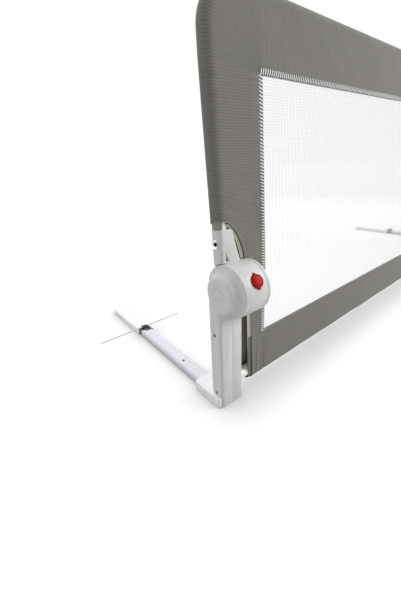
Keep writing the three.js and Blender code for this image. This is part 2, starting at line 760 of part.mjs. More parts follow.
// Bars of cloth along the rail, with the tube at the given height and the seam above or below it
function bar(tubeZ, y, reach, up) {
  const outline = (inset) => {
    const sleeve = sleeveOutline(inset).getPoints();
    return polygon(sleeve.map((p) => [y - sleeveRadius + p.y, tubeZ + (up ? 1 : -1) * (p.x - sleeveRadius)]));
  };
  return prismX(outline(0), -reach, reach).subtract(prismX(outline(clothWall), -reach - overrun, reach + overrun));
}

// The net: upright and level strands joined in one flat sheet
function net(low, high, rows) {
  const halfWidth = legX - seamX - seatGap;
  const front = clothFront + (seamThick - netThick) / 2;
  const columnPitch = (2 * halfWidth - netStrand) / netColumns;
  const rowPitch = (high - low - netStrand) / rows;
  const strands = [];
  for (let column = 0; column <= netColumns; column += 1) {
    const x = -halfWidth + column * columnPitch;
    strands.push(block(x, front, low, x + netStrand, front + netThick, high));
  }
  for (let row = 0; row <= rows; row += 1) {
    const z = low + row * rowPitch;
    strands.push(block(-halfWidth, front, z, halfWidth, front + netThick, z + netStrand));
  }
  return joinAll(strands);
}

// Foot block and base arm

const armOutline = (inset) => rounded(armX - armWidth / 2 + inset, armLift + inset,
  armX + armWidth / 2 - inset, armTop - inset, armRound - inset);

function footBlock() {
  const body = prismZ(rounded(-footLeft, footFront, footRight, footBack, footCorner), 0, footHeight);
  const tunnel = prismY(armOutline(-seatGap), armStart - seatGap, footBack + overrun);
  const recess = rodX(footRecessRadius, -footLeft - overrun, -footLeft + footRecessDepth, footRecessY,
    footHeight / 2);
  const slot = block(-footLeft - overrun, footSlotY - footSlotWidth / 2, footSlotZ - footSlotHeight / 2,
    -footLeft + footRecessDepth, footSlotY + footSlotWidth / 2, footSlotZ + footSlotHeight / 2);
  return cutAll(body, [tunnel, recess, slot]);
}

function armTube() {
  const tube = prismY(armOutline(0), armStart, armEnd).subtract(
    prismY(armOutline(armWall), armStart - overrun, armEnd + overrun));
  return tube.subtract(rodZ(plugShank + seatGap, armTop - armWall - overrun, armTop + overrun, armPlugX, armPlugY,
    smallSides));
}

// A black plug: a low round head on a short shank
function plug(x, y, top, radius, reach) {
  const head = rodZ(radius, top + seatGap, top + seatGap + plugHead, x, y, smallSides);
  return head.add(rodZ(plugShank, top - reach, top + seatGap + plugHead / 2, x, y, smallSides));
}

function armClamp() {
  const grow = armLift;
  const sleeve = prismY(armOutline(-grow), clampStart, clampEnd);
  const boss = block(armX - armWidth / 4, clampBossStart, armTop, armX + armWidth / 4, clampEnd, clampBossHeight);
  const bore = prismY(armOutline(-seatGap), clampStart - overrun, clampEnd + overrun);
  const rodHole = rodX(crossbarRadius + seatGap, -armWidth, armWidth * 2, crossbarY, crossbarZ, smallSides);
  return cutAll(sleeve.add(boss), [bore, rodHole]);
}

function crossbar() {
  const middle = armX - crossbarOffset;
  return rodX(crossbarRadius, middle - crossbarLength / 2, middle + crossbarLength / 2, crossbarY, crossbarZ,
    smallSides);
}

function endFoot() {
  const start = clampEnd + seatGap;
  const outline = new THREE.Shape();
  const [x0, x1] = [armX - endFootWidth / 2, armX + endFootWidth / 2];
  outline.moveTo(x0, start);
  outline.lineTo(x1, start);
  outline.lineTo(x1, endFootTip - endFootRound);
  outline.absarc(x1 - endFootRound, endFootTip - endFootRound, endFootRound, 0, Math.PI / 2);
  outline.lineTo(x0 + endFootRound, endFootTip);
  outline.absarc(x0 + endFootRound, endFootTip - endFootRound, endFootRound, Math.PI / 2, Math.PI);
  const body = prismZ(outline, 0, endFootHeight);
  const middleZ = armLift + armHeight / 2;
  const spigot = block(armX - spigotWidth / 2, clampStart, middleZ - spigotHeight / 2,
    armX + spigotWidth / 2, start + overrun, middleZ + spigotHeight / 2);
  const grooves = [-1, 1].map((side) => {
    const x = armX + side * endGrooveSpread;
    return block(x - endGrooveWidth / 2, pinY + endGrooveShort, endFootHeight - endGrooveDepth,
      x + endGrooveWidth / 2, endFootTip - endGrooveShort, endFootHeight + overrun);
  });
  const pinHole = rodZ(plugShank + seatGap, endFootHeight / 2 - seatGap, endFootHeight + overrun, armX, pinY,
    smallSides);
  return cutAll(body.add(spigot), [...grooves, pinHole]);
}

// Assembly

const rail = new THREE.Group();
rail.position.y = -footprintY;
const panel = new THREE.Group();
panel.position.set(0, hingeY, hingeZ);
panel.rotation.x = -lean;
rail.add(panel);
const panelInner = new THREE.Group();
panelInner.position.set(0, -hingeY, -hingeZ);
panel.add(panelInner);

function addPiece(parent, name, body, finish) {
  const mesh = new THREE.Mesh(geometryOf(body), new THREE.MeshStandardMaterial(finish));
  mesh.name = name;
  parent.add(mesh);
}

// A leg's pieces are drawn with X from its post's outer face, and the right leg mirrors the left
function addPair(parent, name, make, finish) {
  const drawn = make();
  addPiece(parent, `left_${name}`, drawn.translate([-legX, 0, 0]), finish);
  addPiece(parent, `right_${name}`, drawn.translate([-legX, 0, 0]).mirror([1, 0, 0]), finish);
}

addPair(rail, 'post_outer_shell', outerShell, white);
addPair(rail, 'post_inner_shell', innerShell, white);
addPair(rail, 'post_core', postCore, steel);
addPair(rail, 'hinge_plate', hingePlate, steel);
addPair(rail, 'lock_ring', lockRing, steel);
addPair(rail, 'axle_bolt', axleBolt, steel);
addPair(rail, 'axle_nut', axleNut, steel);
addPair(rail, 'axle_plug', axlePlug, white);
shellScrewHeights.forEach((height, i) => {
  addPair(rail, `shell_screw_${i + 1}`, () => shellScrew(height), darkSteel);
});
addPair(rail, 'foot_block', footBlock, white);
addPair(rail, 'arm_tube', armTube, alloy);
addPair(rail, 'arm_plug', () => plug(armPlugX, armPlugY, armTop, plugRadius, armWall), black);
addPair(rail, 'arm_clamp', armClamp, black);
addPair(rail, 'crossbar', crossbar, steel);
addPair(rail, 'end_foot', endFoot, satinWhite);
addPair(rail, 'end_foot_pin', () => plug(armX, pinY, endFootHeight, pinRadius, endFootHeight / 2), black);
addPiece(rail, 'bottom_tube', straightTube(legX - coreX - coreSide / 2 - seatGap, bottomTubeY, bottomTubeZ),
  enamel);

addPair(panelInner, 'drum_housing', drumHousing, white);
addPair(panelInner, 'drum_cover', drumCover, white);
addPair(panelInner, 'hinge_bush', hingeBush, satinWhite);
addPair(panelInner, 'release_button', releaseButton, red);
addPair(panelInner, 'lock_pin', lockPin, steel);
addPair(panelInner, 'button_spring', buttonSpring, steel);
addPair(panelInner, 'socket_bolt', socketBolt, chrome);
addPair(panelInner, 'corner_tube', cornerTube, enamel);
addPiece(panelInner, 'top_tube', straightTube(legX - railJoint - seatGap, tubeY, tubeTop), enamel);

addPair(panelInner, 'upper_band', upperBand, cloth);
addPair(rail, 'lower_band', lowerBand, cloth);
addPiece(panelInner, 'top_band', bar(tubeTop, tubeY, legX - seamX - seatGap, false), cloth);
addPiece(rail, 'bottom_band', bar(barLow + sleeveRadius, tubeY, legX - cutX, true), cloth);
addPiece(panelInner, 'upper_net', net(hingeZ + seatGap, seamHigh - seatGap, netRowsUpper), netting);
addPiece(rail, 'lower_net', net(barHigh + seatGap, hingeZ - foldClear, netRowsLower), netting);

export default rail;
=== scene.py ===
"""A folding bed guard rail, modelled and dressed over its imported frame.

Sizes are in millimetres in each leg's own axes: X from the outer face of the left post along the
rail, Y from the post's front face into the bed, Z up from the floor. Bench turns them into metres
in the frame's axes, and the right leg is the left one mirrored.
"""
import logging
import math
from collections.abc import Callable, Sequence
from dataclasses import dataclass, field
from enum import Enum
from itertools import accumulate, product

import bpy
from mathutils import Matrix, Vector, noise


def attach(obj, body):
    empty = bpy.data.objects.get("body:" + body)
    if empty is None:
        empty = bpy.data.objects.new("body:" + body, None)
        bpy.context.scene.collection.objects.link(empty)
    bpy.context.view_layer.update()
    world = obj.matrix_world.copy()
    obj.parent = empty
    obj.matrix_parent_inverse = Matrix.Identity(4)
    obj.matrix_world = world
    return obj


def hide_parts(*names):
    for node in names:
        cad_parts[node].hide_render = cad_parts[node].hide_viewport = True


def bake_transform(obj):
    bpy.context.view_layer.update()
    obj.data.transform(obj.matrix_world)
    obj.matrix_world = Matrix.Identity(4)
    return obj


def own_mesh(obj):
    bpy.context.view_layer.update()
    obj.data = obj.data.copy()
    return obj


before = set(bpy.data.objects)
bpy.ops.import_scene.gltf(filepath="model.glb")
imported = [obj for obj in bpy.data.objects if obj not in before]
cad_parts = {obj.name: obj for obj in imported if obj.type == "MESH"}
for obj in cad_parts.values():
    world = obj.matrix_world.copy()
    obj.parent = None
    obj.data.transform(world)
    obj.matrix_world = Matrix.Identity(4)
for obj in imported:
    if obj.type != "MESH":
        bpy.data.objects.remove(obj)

LOG = logging.getLogger("bed_rail")
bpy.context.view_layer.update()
MM = 0.001
MERGE = 0.02 * MM
PAST = 5.0
FLAT = math.radians(0.6)
CORNERS = ((-1, -1), (1, -1), (1, 1), (-1, 1))
Pair = tuple[float, float]
Triple = tuple[float, float, float]
Face = tuple[int, ...]
Piece = bpy.types.Object
Socket = bpy.types.NodeSocket


class Axis(Enum):
    """The axis that an outline is drawn out along."""

    X = (1, 2, 0)
    Y = (0, 2, 1)
    Z = (0, 1, 2)

    def spot(self, u: float, v: float, along: float) -> Triple:
        """Places a point of an outline in space.

        Args:
            u: Its first coordinate.
            v: Its second.
            along: Its place along the axis.

        Returns:
            The point in millimetres.
        """
        point = [0.0, 0.0, 0.0]
        first, second, third = self.value
        point[first], point[second], point[third] = u, v, along
        return point[0], point[1], point[2]


class Side(Enum):
    """The two legs of the rail."""

    LEFT = "left"
    RIGHT = "right"


class Body(Enum):
    """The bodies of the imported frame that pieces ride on."""

    BASE = "base"
    PANEL = "panel"
    BUTTON = "button"

    def on(self, side: Side) -> str:
        """Returns the frame's name for this body on one side."""
        return f"{side.value}_button" if self is Body.BUTTON else self.value


@dataclass(frozen=True)
class Rail:
    """Sizes of the whole rail that several sub-assemblies share.

    Args:
        length: From outer face to outer face of the posts.
        height: From the floor to the top of the cover.
        middle_y: The footprint's middle, where the frame's origin stands.
        lean_degrees: How far the locked panel leans into the bed.
        hinge_y: Y of the hinge's axis.
        hinge_z: Its height.
        drum_radius: Radius of the hinge's disc and drum.
        drum_end: X of the drum's inner end.
        tube_radius: Radius of the tubes.
        tube_x: X of the upright tube's middle.
        tube_y: Y of the panel's tubes.
        bend_radius: Radius of the corner tube's bend.
        sleeve_radius: Radius of the cloth round a tube.
        seam_x: X of the net's side seam.
        seam_z: Height of its top seam.
        bar_low: Foot of the bottom bar's cloth.
        bar_high: Height of the net's bottom seam.
        arm_x: X of the base arm's middle.
        arm_top: Height of the base arm's top.
        bolt_z: Height of the bolt through the tube's socket.
        bolt_bore: Radius of the hole for its shank.
        bolt_cup: Radius of the hole for its head.
    """

    length: float = 1500.0
    height: float = 600.0
    middle_y: float = 223.53
    lean_degrees: float = 3.4
    hinge_y: float = 2.0
    hinge_z: float = 218.0
    drum_radius: float = 43.0
    drum_end: float = 68.0
    tube_radius: float = 10.0
    tube_x: float = 24.0
    tube_y: float = 17.0
    bend_radius: float = 45.0
    sleeve_radius: float = 11.8
    seam_x: float = 106.0
    seam_z: float = 506.0
    bar_low: float = 19.0
    bar_high: float = 113.0
    arm_x: float = 15.6
    arm_top: float = 18.5
    bolt_z: float = 290.0
    bolt_bore: float = 2.9
    bolt_cup: float = 6.7

    @property
    def hinge(self) -> Pair:
        """The hinge axis's (Y, Z)."""
        return self.hinge_y, self.hinge_z

    @property
    def tube_top(self) -> float:
        """Height of the top tube's middle."""
        return self.height - self.sleeve_radius

    @property
    def leaning(self) -> Matrix:
        """The turn that leans an upright panel piece into its locked place."""
        return self.turned(-math.radians(self.lean_degrees))

    def turned(self, angle: float) -> Matrix:
        """Returns a turn about the hinge's axis by an angle in radians."""
        pivot = self.metres(0.0, *RAIL.hinge)
        return Matrix.Translation(pivot) @ Matrix.Rotation(angle, 4, "X") @ Matrix.Translation(-pivot)

    def metres(self, x: float, y: float, z: float) -> Vector:
        """Turns a leg's millimetres, along the rail, into the bed and up, into a point of the frame."""
        return Vector((x - self.length / 2, y - self.middle_y, z)) * MM


RAIL = Rail()


@dataclass(frozen=True)
class Lamp:
    """A soft rectangular lamp that looks at a point of the rail."""

    name: str
    place: Triple
    watts: float
    size: Pair

    def hang(self, target: Vector) -> None:
        """Hangs the lamp in the scene.

        Args:
            target: The point that it faces.
        """
        light = bpy.data.lights.new(self.name, "AREA")
        light.shape, light.energy = "RECTANGLE", self.watts
        light.size, light.size_y = self.size
        lamp = bpy.data.objects.new(self.name, light)
        lamp.location = self.place
        lamp.rotation_euler = (target - Vector(self.place)).to_track_quat("-Z", "Y").to_euler()
        bpy.context.scene.collection.objects.link(lamp)


def clamped(value: float) -> float:
    """Returns a value kept between 0 and 1."""
    return min(1.0, max(0.0, value))


def eased(share: float) -> float:
    """Returns a share from 0 to 1 that starts and ends gently."""
    return share * share * (3 - 2 * share)


def lengths(line: Sequence[Pair]) -> list[float]:
    """Returns the length along a line at each of its points."""
    return [0.0, *accumulate(math.hypot(c - a, d - b) for (a, b), (c, d) in zip(line, line[1:]))]


def linear(colour: Triple, amount: float) -> tuple[float, float, float, float]:
    """Turns an sRGB colour into the linear colour of a socket.

    Args:
        colour: Red, green and blue from 0 to 255, as they are seen.
        amount: What is added to each, to lighten or darken the colour.

    Returns:
        Linear red, green, blue and an alpha of 1.
    """
    parts = [min(255.0, max(0.0, c + amount)) / 255 for c in colour]
    red, green, blue = (c / 12.92 if c <= 0.04045 else ((c + 0.055) / 1.055) ** 2.4 for c in parts)
    return red, green, blue, 1.0


class Wires:
    """The nodes of one tree and the links between them."""

    def __init__(self, tree: bpy.types.NodeTree) -> None:
        """Keeps the tree."""
        self.tree = tree

    def find(self, kind: str) -> bpy.types.Node:
        """Returns the tree's first node of a type."""
        return next(node for node in self.tree.nodes if node.type == kind)

    def add(self, kind: str, **inputs: object) -> bpy.types.Node:
        """Adds a node and sets its unlinked sockets.

        Args:
            kind: The node's type.
            inputs: Values of its sockets, by name with underscores for spaces.

        Returns:
            The node.
        """
        node = self.tree.nodes.new(kind)
        for name, value in inputs.items():
            node.inputs[name.replace("_", " ")].default_value = value
        return node

    def link(self, source: Socket, target: Socket) -> None:
        """Links two sockets."""
        self.tree.links.new(source, target)

    def feed(self, node: bpy.types.Node, *sources: Socket) -> Socket:
        """Links sockets to a node's first inputs, in order.

        Args:
            node: The node.
            sources: The sockets.

        Returns:
            The node's first output.
        """
        for index, source in enumerate(sources):
            self.link(source, node.inputs[index])
        return node.outputs[0]

    def maths(self, operation: str, first: Socket, second: Socket) -> Socket:
        """Works out one value from two.

        Args:
            operation: What the Math node does with them.
            first: The first value.
            second: The second.

        Returns:
            The result.
        """
        node = self.add("ShaderNodeMath")
        node.operation = operation
        return self.feed(node, first, second)

    def over(self, factor: Socket, first: Socket, second: Socket) -> Socket:
        """Mixes two shaders, from the first at 0 to the second at 1."""
        return self.feed(self.add("ShaderNodeMixShader"), factor, first, second)

    def seen(self) -> Socket:
        """Adds a factor for rays that see the surround.

        Returns:
            The factor, which is 1 for camera, glossy and transmission rays.
        """
        rays = self.add("ShaderNodeLightPath").outputs
        mirrored = self.maths("MAXIMUM", rays["Is Camera Ray"], rays["Is Glossy Ray"])
        return self.maths("MAXIMUM", mirrored, rays["Is Transmission Ray"])

    def spread(self, factor: Socket, low: float, high: float, span: Pair = (0.3, 0.7)) -> Socket:
        """Maps a pattern onto a range.

        Args:
            factor: The pattern.
            low: What its low values become.
            high: What its high values become.
            span: The part of the pattern's own range that counts.

        Returns:
            The mapped value.
        """
        node = self.add("ShaderNodeMapRange", From_Min=span[0], From_Max=span[1], To_Min=low, To_Max=high)
        self.link(factor, node.inputs["Value"])
        return node.outputs["Result"]


class Board(Wires):
    """The nodes of one material.

    Its `coords` follow the piece's own axes in metres and its `flat` the flat cloth.
    """

    def __init__(self, name: str) -> None:
        """Starts a material with a Principled shader.

        Args:
            name: The material's name.
        """
        self.material = bpy.data.materials.new(name)
        self.material.use_nodes = True
        super().__init__(self.material.node_tree)
        self.shader, self.output = self.find("BSDF_PRINCIPLED"), self.find("OUTPUT_MATERIAL")
        places = self.add("ShaderNodeTexCoord").outputs
        self.coords, self.flat = places["Object"], places["UV"]

    def noise(self, coords: Socket, scale: float, detail: float = 3.0, stretch: Triple | None = None) -> Socket:
        """Adds a noise pattern.

        Args:
            coords: What the pattern follows.
            scale: Features per metre.
            detail: How many finer layers it has.
            stretch: Scale along each axis, where the pattern is drawn out.

        Returns:
            The pattern's value.
        """
        if stretch is not None:
            coords = self.feed(self.add("ShaderNodeMapping", Scale=stretch), coords)
        node = self.add("ShaderNodeTexNoise", Scale=scale, Detail=detail, Roughness=0.55)
        self.link(coords, node.inputs["Vector"])
        return node.outputs["Fac"]

    def bands(self, coords: Socket, pitch: float, direction: str, distortion: float = 0.0) -> Socket:
        """Adds even ribs.

        Args:
            coords: What the ribs follow, in metres.
            pitch: From rib to rib in millimetres.
            direction: The axis that the ribs repeat along.
            distortion: How much they waver.

        Returns:
            The ribs' height.
        """
        node = self.add("ShaderNodeTexWave", Scale=math.tau / (20 * pitch * MM), Distortion=distortion,
                        Detail=1.0, Detail_Scale=0.4)
        node.bands_direction = direction
        self.link(coords, node.inputs["Vector"])
        return node.outputs["Fac"]

    def tones(self, factor: Socket, colour: Triple, low: float, high: float, span: Pair = (0.3, 0.7)) -> Socket:
        """Adds a ramp between two tones of a colour.

        Args:
            factor: The pattern that drives it.
            colour: Red, green and blue from 0 to 255.
            low: What is added to the colour at the span's low end.
            high: What is added at its high end.
            span: The part of the pattern's range that the ramp covers.

        Returns:
            The colour.
        """
        node = self.add("ShaderNodeValToRGB")
        for index, amount in enumerate((low, high)):
            element = node.color_ramp.elements[index]
            element.position, element.color = span[index], linear(colour, amount)
        self.link(factor, node.inputs["Fac"])
        return node.outputs["Color"]

    def relief(self, height: Socket, strength: float, depth: float, under: Socket | None = None) -> Socket:
        """Adds a bump.

        Args:
            height: The pattern.
            strength: Share of the bump that counts.
            depth: Height of the pattern in millimetres.
            under: A bump that this one lies on.

        Returns:
            The normal.
        """
        node = self.add("ShaderNodeBump", Strength=strength, Distance=depth * MM)
        self.link(height, node.inputs["Height"])
        if under is not None:
            self.link(under, node.inputs["Normal"])
        return node.outputs["Normal"]

    def mix(self, factor: Socket, first: Socket, second: Socket) -> Socket:
        """Mixes two colours by a pattern.

        Args:
            factor: The pattern.
            first: Colour where it is 0.
            second: Colour where it is 1.

        Returns:
            The mixed colour.
        """
        node = self.add("ShaderNodeMix")
        node.data_type = "RGBA"
        self.link(factor, node.inputs["Factor"])
        self.link(first, node.inputs[6])
        self.link(second, node.inputs[7])
        return node.outputs[2]

    def set(self, **values: object) -> None:
        """Sets the shader's own sockets, by name with underscores for spaces."""
        for name, value in values.items():
            self.shader.inputs[name.replace("_", " ")].default_value = value

    def drive(self, **sources: Socket) -> None:
        """Links patterns to the shader's sockets, by name with underscores for spaces."""
        for name, source in sources.items():
            self.link(source, self.shader.inputs[name.replace("_", " ")])


@dataclass(frozen=True)
class Look:
    """A finish of the rail.

    Args:
        name: Its material's name.
        colour: Red, green and blue from 0 to 255.
        slot: The record's slot that it belongs to; not used.
    """

    name: str
    colour: Triple
    slot: str

    def make(self) -> bpy.types.Material:
        """Makes the finish's material.

        Returns:
            The material.
        """
        board = Board(self.name)
        self.paint(board)
        return board.material

    def paint(self, board: Board) -> None:
        """Draws the finish on its board."""
        raise NotImplementedError


@dataclass(frozen=True)
class Plastic(Look):
    """Moulded plastic: a fine spark-eroded grain, soft clouds of tone and a little handling dust."""

    roughness: float = 0.42
    cloud: float = 3.0
    grain_depth: float = 0.05
    shine: float = 0.4

    def paint(self, board: Board) -> None:
        """Draws grain, clouds and dust.

        Args:
            board: The material's board.
        """
        clouds = board.noise(board.coords, 38.0, 5.0)
        specks = board.noise(board.coords, 1700.0, 2.0)
        tone = board.tones(clouds, self.colour, -self.cloud, self.cloud)
        dust = board.tones(clouds, self.colour, -self.cloud * 3, 0.0)
        board.drive(
            Base_Color=board.mix(board.spread(specks, 0.35, 0.0), tone, dust),
            Roughness=board.spread(clouds, self.roughness - 0.05, self.roughness + 0.06),
            Normal=board.relief(specks, 0.35, self.grain_depth))
        board.set(Specular_IOR_Level=self.shine)


@dataclass(frozen=True)
class Metal(Look):
    """Bare or plated metal with a drawn or polished surface."""

    roughness: float
    metallic: float = 1.0
    stretch: Triple = (1.0, 1.0, 1.0)
    brush_depth: float = 0.02

    def paint(self, board: Board) -> None:
        """Draws brush marks and clouds.

        Args:
            board: The material's board.
        """
        brush = board.noise(board.coords, 2200.0, 2.0, self.stretch)
        clouds = board.noise(board.coords, 45.0, 4.0)
        board.drive(
            Base_Color=board.tones(clouds, self.colour, -5, 4),
            Roughness=board.spread(brush, self.roughness * 0.88, self.roughness * 1.15),
            Normal=board.relief(brush, 0.4, self.brush_depth))
        board.set(Metallic=self.metallic)


@dataclass(frozen=True)
class Enamel(Look):
    """Powder-coated tube: a smooth coat with a faint orange-peel surface."""

    roughness: float = 0.32

    def paint(self, board: Board) -> None:
        """Draws the peel and clouds.

        Args:
            board: The material's board.
        """
        peel = board.noise(board.coords, 420.0, 2.0)
        clouds = board.noise(board.coords, 30.0, 4.0)
        board.drive(
            Base_Color=board.tones(clouds, self.colour, -4, 3),
            Roughness=board.spread(peel, self.roughness, self.roughness + 0.08),
            Normal=board.relief(peel, 0.3, 0.06))
        board.set(Coat_Weight=0.15, Coat_Roughness=0.2)


@dataclass(frozen=True)
class Cloth(Look):
    """Ribbed polyester: ribs across the band, a plain weave between them, and soft fading."""

    rib_pitch: float = 3.4
    rib_depth: float = 0.35
    rib_tone: float = 7.0
    fade: float = 7.0
    weave_pitch: float = 0.9

    def paint(self, board: Board) -> None:
        """Draws ribs, weave and fading.

        Args:
            board: The material's board.
        """
        ribs = board.bands(board.flat, self.rib_pitch, "Y", 0.6)
        warp, weft = (board.bands(board.flat, self.weave_pitch, way) for way in "XY")
        weave = board.relief(board.maths("MULTIPLY", warp, weft), 0.5, 0.12)
        clouds = board.noise(board.coords, 14.0, 4.0)
        slub = board.noise(board.flat, 260.0, 3.0, (0.15, 1.0, 1.0))
        ribbed = board.tones(ribs, self.colour, -self.rib_tone, self.rib_tone, (0.1, 0.9))
        faded = board.tones(slub, self.colour, -self.fade * 2, self.fade)
        board.drive(
            Base_Color=board.mix(board.spread(clouds, 0.25, 0.6), ribbed, faded),
            Roughness=board.spread(slub, 0.86, 0.97),
            Normal=board.relief(ribs, 0.6, self.rib_depth, weave))
        board.set(Sheen_Weight=0.12, Sheen_Roughness=0.5, Specular_IOR_Level=0.15)


@dataclass(frozen=True)
class Yarn(Look):
    """Twisted thread or tape: fine diagonal plies and a soft surface."""

    ply: float = 0.7

    def paint(self, board: Board) -> None:
        """Draws the plies.

        Args:
            board: The material's board.
        """
        plies = board.bands(board.coords, self.ply, "DIAGONAL", 0.8)
        clouds = board.noise(board.coords, 60.0, 3.0)
        board.drive(
            Base_Color=board.tones(plies, self.colour, -10, 2, (0.1, 0.8)),
            Roughness=board.spread(clouds, 0.82, 0.95),
            Normal=board.relief(plies, 0.4, 0.08))
        board.set(Sheen_Weight=0.1, Specular_IOR_Level=0.2)


class Palette:
    """Every finish of the rail, each made once."""

    shell = Plastic("shell_plastic", (216, 215, 212), "white_plastic")
    foot = Plastic("foot_plastic", (246, 247, 248), "white_plastic", 0.34, 2.0, 0.03)
    satin = Plastic("satin_plastic", (252, 252, 253), "satin_plastic", 0.3, 1.5, 0.03)
    red = Plastic("button_plastic", (174, 18, 18), "red_plastic", 0.45, 5.0, 0.03, 0.12)
    black = Plastic("black_plastic", (34, 34, 36), "black_plastic", 0.42, 4.0)
    alloy = Metal("drawn_alloy", (218, 219, 225), "arm_alloy", 0.42, 0.12, (1.0, 0.012, 1.0), 0.006)
    steel = Metal("plated_steel", (186, 188, 192), "steel", 0.34, stretch=(1.0, 1.0, 0.06))
    rod = Metal("plated_rod", (192, 192, 196), "steel", 0.4, 0.4, (0.05, 1.0, 1.0))
    # Near-black finish inside the bolt's hex socket: painted shade for the recess.
    hex_recess_shade = Metal("hex_recess_painted_shade", (22, 22, 24), "steel", 0.5, 0.4)
    screw = Metal("dark_screw", (88, 84, 74), "dark_screw", 0.4)
    chrome = Metal("chrome_plate", (206, 208, 210), "chrome_bolt", 0.12, brush_depth=0.005)
    enamel = Enamel("tube_enamel", (248, 248, 246), "enamel")
    cloth = Cloth("ribbed_cloth", (128, 125, 119), "cloth")
    lining = Yarn("lining_tape", (226, 222, 206), "cloth", 1.1)
    binding = Yarn("dark_binding", (54, 52, 50), "cloth", 0.9)
    # Cuff tone: painted shade, standing in for the hem's shadow on the tube's outer side.
    shade = Yarn("cuff_painted_shade", (156, 153, 148), "cloth", 0.9)
    thread = Yarn("seam_thread", (240, 240, 240), "net", 0.5)
    net = Yarn("net_yarn", (250, 250, 250), "net", 0.6)

    def __init__(self) -> None:
        """Starts with no material made."""
        self.made: dict[str, bpy.types.Material] = {}

    def material(self, look: Look) -> bpy.types.Material:
        """Finds a finish's material, and makes it at its first use.

        Args:
            look: The finish.

        Returns:
            The material.
        """
        if look.name not in self.made:
            self.made[look.name] = look.make()
        return self.made[look.name]

    def dress(self, piece: Piece, look: Look) -> None:
        """Gives a new piece or a kept node of the frame a finish."""
        piece.data.materials.clear()
        piece.data.materials.append(self.material(look))

    def add(self, piece: Piece, look: Look, faces: Sequence[int]) -> None:
        """Gives some faces of a piece a second finish.

        Args:
            piece: The dressed piece.
            look: The second finish.
            faces: The faces' numbers.
        """
        piece.data.materials.append(self.material(look))
        for index in faces:
            piece.data.polygons[index].material_index = len(piece.data.materials) - 1


